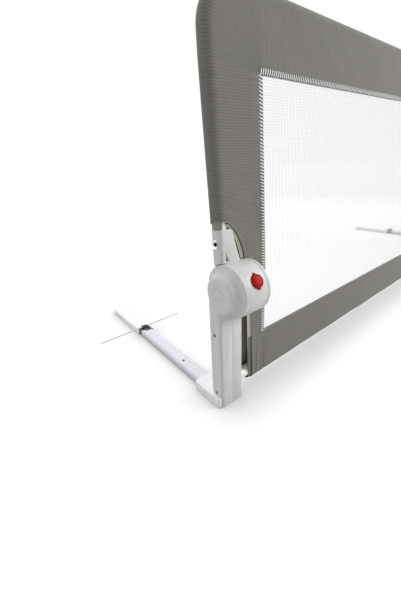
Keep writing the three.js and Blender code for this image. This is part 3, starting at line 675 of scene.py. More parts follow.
class Bench:
    """The modelling tools: each makes or shapes a piece with Blender's own operators."""

    def __init__(self, palette: Palette) -> None:
        """Keeps the palette that finished pieces are dressed from."""
        self.palette = palette

    def clear(self) -> None:
        """Leaves edit mode and deselects everything."""
        if bpy.context.mode != "OBJECT":
            bpy.ops.object.mode_set(mode="OBJECT")
        for thing in bpy.context.selected_objects:
            thing.select_set(False)

    def pick(self, piece: Piece) -> None:
        """Makes a piece the only selected and active one.

        Args:
            piece: The piece.
        """
        self.clear()
        piece.select_set(True)
        bpy.context.view_layer.objects.active = piece

    def edit(self, piece: Piece) -> None:
        """Opens a piece in edit mode with all of it selected.

        Args:
            piece: The piece.
        """
        self.pick(piece)
        bpy.ops.object.mode_set(mode="EDIT")
        bpy.ops.mesh.select_all(action="SELECT")

    def close(self) -> None:
        """Turns every face of the piece in edit mode outwards, and leaves edit mode."""
        bpy.ops.mesh.select_all(action="SELECT")
        bpy.ops.mesh.normals_make_consistent(inside=False)
        self.clear()

    def drawn(self, name: str, spots: Sequence[Vector], fill: str) -> Piece:
        """Adds a circle and sets its points out along an outline.

        Args:
            name: The piece's name.
            spots: The outline's points in metres.
            fill: NGON for a face, NOTHING for a wire.

        Returns:
            The flat piece.
        """
        self.clear()
        bpy.ops.mesh.primitive_circle_add(vertices=len(spots), radius=MM, fill_type=fill)
        piece = bpy.context.active_object
        piece.name = name
        for vertex, spot in zip(piece.data.vertices, spots):
            vertex.co = spot
        return piece

    def prism(self, name: str, outline: Sequence[Pair], axis: Axis, start: float,
              end: float) -> Piece:
        """Draws an outline out along an axis.

        Args:
            name: The piece's name.
            outline: Its points in millimetres, in the axis's two other directions.
            axis: The direction that it is drawn out along.
            start: Where it starts.
            end: Where it ends.

        Returns:
            The closed piece.
        """
        spots = [RAIL.metres(*axis.spot(u, v, start)) for u, v in outline]
        piece = self.drawn(name, spots, "NGON")
        step = RAIL.metres(*axis.spot(0.0, 0.0, end)) - RAIL.metres(*axis.spot(0.0, 0.0, start))
        self.edit(piece)
        bpy.ops.mesh.extrude_region_move(TRANSFORM_OT_translate={"value": step})
        self.close()
        return piece

    def loft(self, name: str, outlines: Sequence[Sequence[Pair]], places: Sequence[float]) -> Piece:
        """Draws an outline out along the rail and changes it from place to place.

        Args:
            name: The piece's name.
            outlines: Outlines in (Y, Z), each with the same number of points.
            places: X of each outline.

        Returns:
            The closed piece.
        """
        piece = self.prism(name, outlines[0], Axis.X, places[0], places[1])
        rings = [places[0], places[1]]
        for before, after in zip(places[1:], places[2:]):
            self.edit(piece)
            bpy.ops.mesh.select_all(action="DESELECT")
            self.clear()
            reach = RAIL.metres(before, 0.0, 0.0).x
            for face in piece.data.polygons:
                face.select = all(abs(piece.data.vertices[v].co.x - reach) < 1e-5 for v in face.vertices)
            self.pick(piece)
            bpy.ops.object.mode_set(mode="EDIT")
            bpy.ops.mesh.extrude_region_move(TRANSFORM_OT_translate={"value": ((after - before) * MM, 0.0, 0.0)})
            self.clear()
            rings.append(after)
        first = [RAIL.metres(0.0, y, z) for y, z in outlines[0]]
        for vertex in piece.data.vertices:
            spot = vertex.co
            ring = min(range(len(rings)), key=lambda k: abs(RAIL.metres(rings[k], 0.0, 0.0).x - spot.x))
            corner = min(range(len(first)), key=lambda k: abs(first[k].y - spot.y) + abs(first[k].z - spot.z))
            vertex.co = RAIL.metres(rings[ring], *outlines[ring][corner])
        return piece

    def round_face(self, piece: Piece, width: float, share: Callable[[Vector], float],
                   steps: int = 7) -> Piece:
        """Rounds some edges, each by its own share of a width.

        Args:
            piece: The piece.
            width: The widest rounding.
            share: Gives an edge's share from its middle.
            steps: Steps of the rounding.

        Returns:
            The piece.
        """
        weights = piece.data.attributes.new("bevel_weight_edge", "FLOAT", "EDGE")
        spots = piece.data.vertices
        for edge in piece.data.edges:
            first, last = (spots[k].co for k in edge.vertices)
            weights.data[edge.index].value = share((first + last) / 2)
        modifier = piece.modifiers.new("round", "BEVEL")
        modifier.width, modifier.segments = width * MM, steps
        modifier.limit_method = "WEIGHT"
        modifier.use_clamp_overlap = False
        self.apply(piece)
        return piece

    def block(self, name: str, low: Triple, high: Triple) -> Piece:
        """Adds a box between two corners.

        Args:
            name: The piece's name.
            low: Its lowest corner.
            high: Its highest corner.

        Returns:
            The box, with its place in its mesh.
        """
        first, last = RAIL.metres(*low), RAIL.metres(*high)
        self.clear()
        bpy.ops.mesh.primitive_cube_add(size=1.0, location=(first + last) / 2, scale=last - first)
        piece = bpy.context.active_object
        piece.name = name
        bpy.ops.object.transform_apply(location=True, rotation=True, scale=True)
        return piece

    def spun(self, name: str, profile: Sequence[Pair], centre: Pair, sides: int = 96) -> Piece:
        """Spins a profile about an axis along the rail.

        Args:
            name: The piece's name.
            profile: Its points as (place along the rail, radius); it may start and end on the axis.
            centre: The axis's (Y, Z).
            sides: Flats of the full turn.

        Returns:
            The closed piece.
        """
        axis_y, axis_z = centre
        spots = [RAIL.metres(x, axis_y, axis_z + radius) for x, radius in profile]
        piece = self.drawn(name, spots, "NOTHING")
        self.edit(piece)
        bpy.ops.mesh.spin(steps=sides, angle=math.tau, center=RAIL.metres(0.0, axis_y, axis_z),
                          axis=(1.0, 0.0, 0.0))
        self.sew(piece)
        return piece

    def sew(self, piece: Piece) -> None:
        """Merges points that lie together, drops what is loose and turns the faces outwards.

        Args:
            piece: The piece.
        """
        self.edit(piece)
        bpy.ops.mesh.remove_doubles(threshold=MERGE / 2)
        bpy.ops.mesh.delete_loose(use_verts=True, use_edges=True, use_faces=False)
        self.close()

    def thicken(self, piece: Piece, thickness: float) -> None:
        """Gives an open sheet or tube a thickness, inwards.

        Args:
            piece: The piece.
            thickness: The thickness in millimetres.
        """
        modifier = piece.modifiers.new("wall", "SOLIDIFY")
        modifier.thickness, modifier.offset = thickness * MM, -1.0
        self.apply(piece)

    def mesh(self, name: str, points: Sequence[Vector], faces: Sequence[Face]) -> Piece:
        """Makes a piece of points and faces.

        Args:
            name: The piece's name.
            points: Its points in metres.
            faces: Its faces, each the numbers of its points.

        Returns:
            The piece.
        """
        data = bpy.data.meshes.new(name)
        data.from_pydata(points, [], faces)
        piece = bpy.data.objects.new(name, data)
        bpy.context.scene.collection.objects.link(piece)
        return piece

    def rod(self, name: str, radius: float, axis: Axis, start: float, end: float, centre: Pair,
            sides: int = 48) -> Piece:
        """Adds a round bar along an axis.

        Args:
            name: The piece's name.
            radius: Its radius.
            axis: Its direction.
            start: Where it starts.
            end: Where it ends.
            centre: Its middle in the two other directions.
            sides: Its flats.

        Returns:
            The closed bar.
        """
        ring = [(centre[0] + radius * math.cos(math.tau * i / sides),
                 centre[1] + radius * math.sin(math.tau * i / sides)) for i in range(sides)]
        return self.prism(name, ring, axis, start, end)

    def apply(self, piece: Piece) -> None:
        """Applies every modifier of a piece.

        Args:
            piece: The piece.
        """
        self.pick(piece)
        for modifier in list(piece.modifiers):
            bpy.ops.object.modifier_apply(modifier=modifier.name)

    def combine(self, piece: Piece, operation: str,
                others: Sequence[Piece]) -> Piece:
        """Cuts, joins or crosses a piece with others, which are used up.

        Args:
            piece: What is kept.
            operation: DIFFERENCE, UNION or INTERSECT.
            others: The tools.

        Returns:
            The shaped piece.
        """
        for other in others:
            modifier = piece.modifiers.new("combine", "BOOLEAN")
            modifier.operation, modifier.solver, modifier.object = operation, "EXACT", other
            self.apply(piece)
            bpy.data.objects.remove(other)
        return piece

    def cut(self, piece: Piece, *tools: Piece) -> Piece:
        """Cuts tools out of a piece."""
        return self.combine(piece, "DIFFERENCE", tools)

    def join(self, piece: Piece, *others: Piece) -> Piece:
        """Joins other solids to a piece."""
        return self.combine(piece, "UNION", others)

    def soften(self, piece: Piece, width: float = 0.5, segments: int = 2,
               angle: float = 40.0) -> Piece:
        """Rounds a piece's sharp edges and shades it smooth between them.

        Args:
            piece: The piece.
            width: Width of the rounding.
            segments: Its steps.
            angle: Edges sharper than this are rounded.

        Returns:
            The piece.
        """
        self.edit(piece)
        bpy.ops.mesh.remove_doubles(threshold=MERGE)
        bpy.ops.mesh.dissolve_limited(angle_limit=FLAT)
        self.clear()
        modifier = piece.modifiers.new("soften", "BEVEL")
        modifier.width, modifier.segments = width * MM, segments
        modifier.limit_method, modifier.angle_limit = "ANGLE", math.radians(angle)
        modifier.use_clamp_overlap = False
        self.apply(piece)
        return self.smooth(piece)

    def smooth(self, piece: Piece, angle: float = 32.0) -> Piece:
        """Shades a piece smooth below an angle.

        Args:
            piece: The piece.
            angle: The angle in degrees.

        Returns:
            The piece.
        """
        self.pick(piece)
        bpy.ops.object.shade_smooth_by_angle(angle=math.radians(angle))
        self.clear()
        return piece

    def finish(self, piece: Piece, look: Look) -> None:
        """Gives a piece a finish."""
        self.palette.dress(piece, look)

    def seat(self, piece: Piece, look: Look, body: str, nodes: Sequence[str] = ()) -> Piece:
        """Dresses a finished piece, seats it on its body and hides what it stands for.

        Args:
            piece: The piece, in place.
            look: Its finish.
            body: The frame's body that it moves with.
            nodes: The frame's nodes that it replaces.

        Returns:
            The piece.
        """
        self.finish(piece, look)
        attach(piece, body)
        if nodes:
            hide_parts(*nodes)
        LOG.info("%s: %d faces on %s", piece.name, len(piece.data.polygons), body)
        return piece

    def pair(self, piece: Piece, look: Look, body: Body,
             nodes: Sequence[str] = ()) -> list[Piece]:
        """Finishes a left leg's piece and its mirrored twin for the right leg.

        Args:
            piece: The left piece, drawn upright.
            look: Its finish.
            body: The body that it moves with.
            nodes: The nodes that it replaces, without their side.

        Returns:
            The left and the right piece.
        """
        name = piece.name
        if body is not Body.BASE:
            piece.data.transform(RAIL.leaning)
        twin = bpy.data.objects.new(f"right_{name}", piece.data.copy())
        bpy.context.scene.collection.objects.link(twin)
        self.edit(twin)
        bpy.ops.transform.resize(value=(-1.0, 1.0, 1.0), center_override=(0.0, 0.0, 0.0))
        bpy.ops.mesh.flip_normals()
        self.clear()
        piece.name = f"left_{name}"
        for side, made in zip(Side, (piece, twin)):
            self.seat(made, look, body.on(side), [f"{side.value}_{node}" for node in nodes])
        return [piece, twin]


def rounded(u0: float, v0: float, u1: float, v1: float, radii: Sequence[float], steps: int = 7) -> list[Pair]:
    """Draws a rectangle with round corners.

    Args:
        u0: Low side of the first direction.
        v0: Low side of the second.
        u1: High side of the first.
        v1: High side of the second.
        radii: Radius of each corner: low-low, high-low, high-high, low-high.
        steps: Steps of a quarter turn.

    Returns:
        The outline.
    """
    corners = ((u0, v0, 1, 1, 180), (u1, v0, -1, 1, 270), (u1, v1, -1, -1, 0), (u0, v1, 1, -1, 90))
    outline: list[Pair] = []
    for (u, v, du, dv, first), radius in zip(corners, radii):
        if radius <= 0:
            outline.append((u, v))
            continue
        for i in range(steps + 1):
            angle = math.radians(first + 90 * i / steps)
            outline.append((u + du * radius + radius * math.cos(angle), v + dv * radius + radius * math.sin(angle)))
    return outline


@dataclass
class Post:
    """A post: two moulded half shells with the fixed disc of the hinge, its cap and its screws."""

    bench: Bench
    width: float = 48.0
    depth: float = 30.0
    corner: float = 4.0
    back_corner: float = 8.0
    face_depth: float = 9.0
    wall: float = 2.2
    parting: float = 24.0
    gap: float = 0.3
    parting_gap: float = 0.06
    cap_radius: float = 31.0
    rim_start: float = 16.0
    disc_end: float = 22.44
    root_fillet: float = 8.0
    turning_gap: float = 1.0
    button_sweep: float = 48.21
    button_start: float = 31.0
    foot_height: float = 20.3
    screw_radius: float = 2.6
    screw_sink: float = 2.2
    recess: tuple[float, float, float] = (2.7, 4.2, 1.1)
    screw_heights: tuple[float, float] = (24.0, 142.0)
    screw_end: float = 13.4
    mark_radius: float = 10.6
    plug_radius: float = 8.0
    plug_end: float = 8.7
    cove: tuple[Pair, ...] = (
        (0.47, 0.1), (0.56, 0.3), (0.65, 0.7), (0.73, 1.3), (0.8, 2.1), (0.86, 3.1), (0.9, 4.3), (0.93, 5.7),
        (0.95, 7.2), (0.96, 8.8), (0.97, 10.2), (0.99, 11.2), (1.02, 11.8))

    def fillet(self, radius: float) -> list[Pair]:
        """Draws the hollow between the post's front face and a round.

        Args:
            radius: Radius of the round about the hinge.

        Returns:
            The outline in (Y, Z).
        """
        hollow, (hinge_y, hinge_z) = self.root_fillet, RAIL.hinge
        reach = radius + hollow
        middle_z = hinge_z - math.sqrt(reach ** 2 - (hollow + hinge_y) ** 2)
        touch_y = hinge_y - (hollow + hinge_y) * radius / reach
        touch_z = hinge_z + (middle_z - hinge_z) * radius / reach
        end = math.atan2(touch_z - middle_z, touch_y + hollow)
        arc = [(hollow * math.cos(end * i / 10) - hollow, middle_z + hollow * math.sin(end * i / 10))
               for i in range(11)]
        return [(self.wall, middle_z), *arc, (touch_y, hinge_z - radius / 2), (self.wall, hinge_z - radius / 2)]

    def disc(self) -> Piece:
        """Models the fixed disc behind the face: a deep cove round the cap and a rim.

        Returns:
            The disc.
        """
        cap, rim, start = self.cap_radius, RAIL.drum_radius, self.rim_start
        cove = [(start * share, cap + rise) for share, rise in self.cove]
        end, inside = self.disc_end, self.face_depth - 2.0
        return self.bench.spun("disc", [(inside, 0.0), (inside, cap - 0.5), *cove, (start + 0.9, rim),
                                        (end - 0.2, rim), (end, rim - 0.2), (end, 0.0)], RAIL.hinge)

    def saddle(self) -> Piece:
        """Models the hollow fillet under the disc, which widens from the cap to the rim.

        Returns:
            The fillet.
        """
        cap, rim, start = self.cap_radius, RAIL.drum_radius, self.rim_start
        rise = [(start * (0.35 + 0.07 * i), cap + (rim - cap) * (0.5 - 0.5 * math.cos(math.pi * i / 10)))
                for i in range(11)]
        rise.append((self.disc_end, rim))
        return self.bench.loft("saddle", [self.fillet(radius) for _, radius in rise], [x for x, _ in rise])

    def face(self) -> Piece:
        """Models the keyhole face: column and cap in one outline, rounded all along its edge.

        Returns:
            The face.
        """
        hinge_y, hinge_z = RAIL.hinge
        cap, depth = self.cap_radius, self.depth
        inner = self.fillet(cap)[1:12]
        start = math.atan2(inner[-1][1] - hinge_z, inner[-1][0] - hinge_y) + math.tau
        stop = -math.acos((depth - hinge_y) / cap)
        steps = 56
        ring = [(hinge_y + cap * math.cos(start + (stop - start) * i / steps),
                 hinge_z + cap * math.sin(start + (stop - start) * i / steps)) for i in range(1, steps + 1)]
        face = self.bench.prism("face", [(0.0, 0.0), *inner, *ring, (depth, 0.0)], Axis.X, 0.0, self.face_depth)
        edge = RAIL.metres(0.0, 0.0, 0.0)
        front = self.corner / self.back_corner

        def share(middle: Vector) -> float:
            """Gives the back of the face a wider rounding than its front.

            Args:
                middle: Middle of an edge.

            Returns:
                The edge's share of the widest rounding.
            """
            if abs(middle.x - edge.x) > MERGE / 2:
                return 0.0
            if middle.z < MM:
                return 0.1
            behind = clamped((middle.y - edge.y) / MM / depth + 0.15)
            above = clamped((middle.z / MM - hinge_z + cap) / cap)
            return front + (1 - front) * eased(max(behind, above))

        return self.bench.round_face(face, self.back_corner, share)

    def turning_room(self, start: float) -> Piece:
        """Returns the room that the turning housing needs, from a place along the rail."""
        radius = RAIL.drum_radius + self.turning_gap
        return self.bench.rod("room", radius, Axis.X, start, RAIL.drum_end, RAIL.hinge, 96)

    def foot_room(self) -> Piece:
        """Returns the room that the foot block takes inside the shells."""
        return self.bench.block("room", (-12.0, 2.5, -5.0), (35.3, 77.0, self.foot_height))

    def outer_shell(self) -> None:
        """Models the outer shell: a keyhole face, its column and the disc."""
        bench, depth, wall = self.bench, self.depth, self.wall
        end = self.parting - self.parting_gap / 2
        shell = bench.block("post_outer", (self.face_depth - 0.5, 0.0, 0.0), (end, depth, RAIL.hinge_z))
        bench.join(shell, self.face(), self.disc(), self.saddle())
        inside = rounded(wall, wall, end + PAST, depth - wall,
                         (self.corner - wall, 0.0, 0.0, self.back_corner - wall))
        narrow, wide = self.cap_radius - wall, RAIL.drum_radius - wall
        start, stop = self.rim_start, self.disc_end + 5
        hollow = bench.spun("hollow", [(wall, 0.0), (wall, narrow - 8.0), (wall + 1.4, narrow - 4.5),
                                       (wall + 3.6, narrow - 1.8), (wall + 7.0, narrow - 0.3),
                                       (start - wall, narrow), (start + wall, wide), (stop, wide),
                                       (stop, 0.0)], RAIL.hinge)
        hole = bench.rod("hole", self.plug_radius + self.parting_gap, Axis.X, -PAST, wall + PAST, RAIL.hinge, 96)
        screws = [bench.rod("hole", self.screw_radius + self.gap, Axis.X, -PAST, wall + 3, (depth / 2, height), 32)
                  for height in self.screw_heights]
        across, up, deep = self.recess
        recesses = [bench.prism("recess", rounded(depth / 2 - across, height - up, depth / 2 + across, height + up,
                                                  [across - 0.1] * 4), Axis.X, -PAST, deep)
                    for height in self.screw_heights]
        mark = self.mark_radius
        ring = bench.spun("ring", [(-1.0, mark - 0.2), (-1.0, mark + 0.7), (0.25, mark + 0.35),
                                   (0.45, mark - 0.1)], RAIL.hinge)
        bench.cut(shell, bench.prism("hollow", inside, Axis.Z, wall, RAIL.hinge_z + PAST), hollow,
                  self.turning_room(self.disc_end), self.foot_room(), hole, *screws, *recesses, ring)
        bench.soften(shell, 0.12, 2, 50.0)
        bench.pair(shell, Palette.shell, Body.BASE, ["post_outer_shell"])

    def inner_shell(self) -> None:
        """Models the inner shell, with the saddle under the drum and the button's groove."""
        bench, depth, wall = self.bench, self.depth, self.wall
        start = self.parting + self.parting_gap / 2
        radii = (0.0, self.corner, self.corner, 0.0)
        shell = bench.prism("post_inner", rounded(start, 0.0, self.width, depth, radii), Axis.Z, 0.0, RAIL.hinge_z)
        inside = rounded(start - PAST, wall, self.width - wall, depth - wall,
                         (0.0, self.corner - wall, self.corner - wall, 0.0))
        hollow = bench.prism("hollow", inside, Axis.Z, wall, RAIL.hinge_z + PAST)
        drum = RAIL.drum_radius + self.turning_gap
        bench.cut(hollow, bench.rod("room", drum + wall, Axis.X, 0.0, self.width, RAIL.hinge, 96),
                  bench.rod("room", self.button_sweep + wall + 0.6, Axis.X, self.button_start - wall,
                            self.width, RAIL.hinge, 96))
        tube = bench.rod("hole", RAIL.tube_radius + self.gap, Axis.X, 27.0, self.width + PAST, (16.5, 35.0))
        groove = bench.rod("groove", self.button_sweep + 0.6, Axis.X, self.button_start, self.width + PAST,
                           RAIL.hinge, 96)
        bench.cut(shell, hollow, self.turning_room(0.0), groove, self.foot_room(), tube)
        bench.soften(shell, 0.12, 2)
        bench.pair(shell, Palette.shell, Body.BASE, ["post_inner_shell"])

    def cap_plug(self) -> None:
        """Models the round plug in the middle of the cap."""
        radius = self.plug_radius
        plug = self.bench.spun("cap_disc", [(-0.5, 0.0), (-0.5, radius - 2.2), (-0.4, radius - 1.3),
                                            (-0.18, radius - 0.6), (0.1, radius), (self.plug_end, radius),
                                            (self.plug_end, 0.0)], RAIL.hinge, 64)
        self.bench.smooth(plug)
        self.bench.pair(plug, Palette.shell, Body.BASE, ["axle_plug"])

    def screws(self) -> None:
        """Models the sunk cross-head screws of the shells."""
        radius, sink, middle = self.screw_radius, self.screw_sink, self.depth / 2
        for count, height in enumerate(self.screw_heights, 1):
            centre = (middle, height)
            screw = self.bench.spun(f"cross_screw_{count}", [
                (sink, 0.0), (sink, radius - 0.7), (sink + 0.25, radius - 0.2), (sink + 0.7, radius),
                (sink + 2.2, radius), (sink + 3.2, radius * 0.6), (self.screw_end, radius * 0.6),
                (self.screw_end, 0.0)], centre, 32)
            for across, up in ((1.7, 0.4), (0.4, 1.7)):
                slot = self.bench.block("slot", (sink - 1, middle - across, height - up),
                                        (sink + 1.1, middle + across, height + up))
                self.bench.cut(screw, slot)
            self.bench.smooth(screw)
            self.bench.pair(screw, Palette.screw, Body.BASE, [f"shell_screw_{count}"])

    def build(self) -> None:
        """Builds the post's pieces."""
        self.outer_shell()
        self.inner_shell()
        self.cap_plug()
        self.screws()


@dataclass
class BaseArm:
    """A leg's foot block and the long arm that lies under the mattress, with its end foot."""

    bench: Bench
    left: float = -7.0
    right: float = 35.0
    front: float = 2.8
    back: float = 72.0
    height: float = 20.0
    arm_width: float = 28.0
    arm_height: float = 17.0
    arm_round: float = 7.0
    arm_wall: float = 1.5
    arm_start: float = 14.5
    arm_end: float = 310.0
    gap: float = 0.3
    plug: Pair = (12.0, 137.0)
    clamp: Pair = (299.0, 321.8)
    boss_start: float = 311.0
    boss_top: float = 22.9
    collar_end: float = 325.8
    rod_y: float = 318.0
    rod_z: float = 21.1
    rod_radius: float = 1.5
    rod_ends: Pair = (-98.4, 117.6)
    foot_width: float = 32.0
    foot_height: float = 16.4
    foot_tip: float = 490.0
    foot_round: float = 11.0
    grooves: Pair = (-10.5, 1.4)
    pin_y: float = 333.0
    pin_foot: float = 7.0
    peg_hole: float = 1.7
    peg_shank: float = 1.4
    peg_head: float = 0.9

    def section(self, grow: float) -> list[Pair]:
        """Draws the arm's rounded section.

        Args:
            grow: How far it is grown or shrunk.

        Returns:
            The outline in (X, Z).
        """
        x, half = RAIL.arm_x, self.arm_width / 2
        low, high = RAIL.arm_top - self.arm_height, RAIL.arm_top
        return rounded(x - half - grow, low - grow, x + half + grow, high + grow,
                       [self.arm_round + grow] * 4, 8)

    def foot_block(self) -> None:
        """Models the block that carries the post, with its tunnel, slot and round recess."""
        bench = self.bench
        block = bench.prism("foot", rounded(self.left, self.front, self.right, self.back, [5.0] * 4), Axis.Z,
                            0.0, self.height)
        bench.soften(block, 1.6, 4, 60.0)
        recess = bench.spun("recess", [(self.left - 3, 0.0), (self.left - 3, 4.4), (self.left + 0.4, 4.0),
                                       (self.left + 1.4, 3.6), (self.left + 1.4, 0.0)], (41.0, 10.0), 48)
        slot = bench.prism("slot", rounded(9.0, 6.5, 15.0, 9.5, [1.4] * 4, 4), Axis.X, self.left - 3,
                           self.left + 1.4)
        tunnel = bench.prism("tunnel", self.section(self.gap), Axis.Y, self.arm_start - self.gap, self.back + PAST)
        bench.cut(block, tunnel, recess, slot)
        bench.smooth(block)
        bench.pair(block, Palette.foot, Body.BASE, ["foot_block"])

    def arm(self) -> None:
        """Models the drawn alloy arm and its small black plug."""
        bench = self.bench
        arm = bench.prism("arm", self.section(0.0), Axis.Y, self.arm_start, self.arm_end)
        bore = bench.prism("bore", self.section(-self.arm_wall), Axis.Y, self.arm_start - PAST, self.arm_end + PAST)
        hole = bench.rod("hole", self.peg_hole, Axis.Z, 12.0, 24.0, self.plug, 24)
        bench.cut(arm, bore, hole)
        bench.smooth(arm)
        bench.pair(arm, Palette.alloy, Body.BASE, ["arm_tube"])
        self.peg("arm_button", 2.4, self.plug, (RAIL.arm_top - self.arm_wall, RAIL.arm_top + self.gap), "arm_plug")

    def peg(self, name: str, radius: float, spot: Pair, span: Pair, node: str) -> None:
        """Models a black peg with a low round head.

        Args:
            name: The piece's name.
            radius: Radius of its head.
            spot: (X, Y) of its middle.
            span: Height of its foot and of its head's underside.
            node: The node that it replaces, without its side.
        """
        bench, (foot, seat) = self.bench, span
        peg = bench.rod(name, radius, Axis.Z, seat, seat + self.peg_head, spot, 32)
        bench.soften(peg, 0.4, 3, 60.0)
        bench.join(peg, bench.rod("shank", self.peg_shank, Axis.Z, foot, seat + self.peg_head / 2, spot, 24))
        bench.smooth(peg)
        bench.pair(peg, Palette.black, Body.BASE, [node])

    def clamp_sleeve(self) -> None:
        """Models the black collar round the arm's end, with its bowed front edge."""
        bench = self.bench
        start, end = self.clamp
        sleeve = bench.prism("clamp", self.section(1.2), Axis.Y, start, end)
        third = self.arm_width / 3
        boss = bench.prism("boss", rounded(RAIL.arm_x - third, RAIL.arm_top, RAIL.arm_x + third,
                                           self.boss_top, (0.0, 0.0, 3.4, 3.4), 6), Axis.Y, self.boss_start, end)
        bench.join(sleeve, boss)
        bore = bench.prism("bore", self.section(self.gap), Axis.Y, start - PAST, end + PAST)
        bow = bench.rod("bow", 15.0, Axis.Z, -PAST, 30.0, (RAIL.arm_x - 17.0, start - 5.0), 64)
        hole = bench.rod("hole", self.rod_radius + self.gap, Axis.X, -20.0, 60.0, (self.rod_y, self.rod_z), 24)
        side = bench.block("side", (-10.0, start - PAST, -10.0), (RAIL.arm_x - 10.5, end - 4.0, 40.0))
        bench.cut(sleeve, bore, bow, hole, side)
        bench.soften(sleeve, 0.4, 2, 50.0)
        bench.pair(sleeve, Palette.black, Body.BASE, ["arm_clamp"])

    def cross_rod(self) -> None:
        """Models the thin rod through the clamp, with chamfered ends."""
        start, end = self.rod_ends
        radius = self.rod_radius
        rod = self.bench.spun("cross_rod", [(start, 0.0), (start, radius - 0.7), (start + 0.7, radius),
                                            (end - 0.7, radius), (end, radius - 0.7), (end, 0.0)],
                              (self.rod_y, self.rod_z), 32)
        self.bench.smooth(rod)
        self.bench.pair(rod, Palette.rod, Body.BASE, ["crossbar"])

    def end_foot(self) -> None:
        """Models the satin end foot: collar, rounded tip, two grooves, a thumb scoop and its pin."""
        bench = self.bench
        x, half, start = RAIL.arm_x, self.foot_width / 2, self.collar_end
        low, high, top = x - half, x + half, self.foot_height
        outline = rounded(low, start, high, self.foot_tip, (3.0, 3.0, self.foot_round, self.foot_round), 10)
        foot = bench.prism("end_shoe", outline, Axis.Z, 0.0, top)
        bench.soften(foot, 2.4, 4, 60.0)
        middle = RAIL.arm_top - self.arm_height / 2
        spigot = bench.block("spigot", (x - 9, self.clamp[0], middle - 3), (x + 9, start + PAST, middle + 3))
        collar = bench.prism("collar", self.section(1.2), Axis.Y, self.clamp[1] + self.gap, start + 3.0)
        bench.join(foot, collar, spigot)
        cuts = [bench.prism("groove", rounded(x + shift - 1.0, start + 8, x + shift + 1.0,
                                              self.foot_tip - 20, [0.9] * 4, 5), Axis.Z, top - 1.6, top + 3)
                for shift in self.grooves]
        scoop = bench.rod("scoop", 8.0, Axis.Z, top - 0.9, top + 3, (x, self.foot_tip - 11.0), 40)
        island = bench.rod("island", 8.0, Axis.Z, 0.0, top + PAST, (x, self.foot_tip - 14.5), 40)
        bench.cut(scoop, island)
        hole = bench.rod("hole", self.peg_hole, Axis.Z, self.pin_foot - self.gap, top + PAST, (x, self.pin_y), 24)
        bench.cut(foot, *cuts, scoop, hole)
        bench.smooth(foot)
        bench.pair(foot, Palette.satin, Body.BASE, ["end_foot"])
        self.peg("shoe_pin", 3.2, (x, self.pin_y), (self.pin_foot, top + self.gap / 2), "end_foot_pin")

    def build(self) -> None:
        """Builds the arm's pieces."""
        self.foot_block()
        self.arm()
        self.clamp_sleeve()
        self.cross_rod()
        self.end_foot()


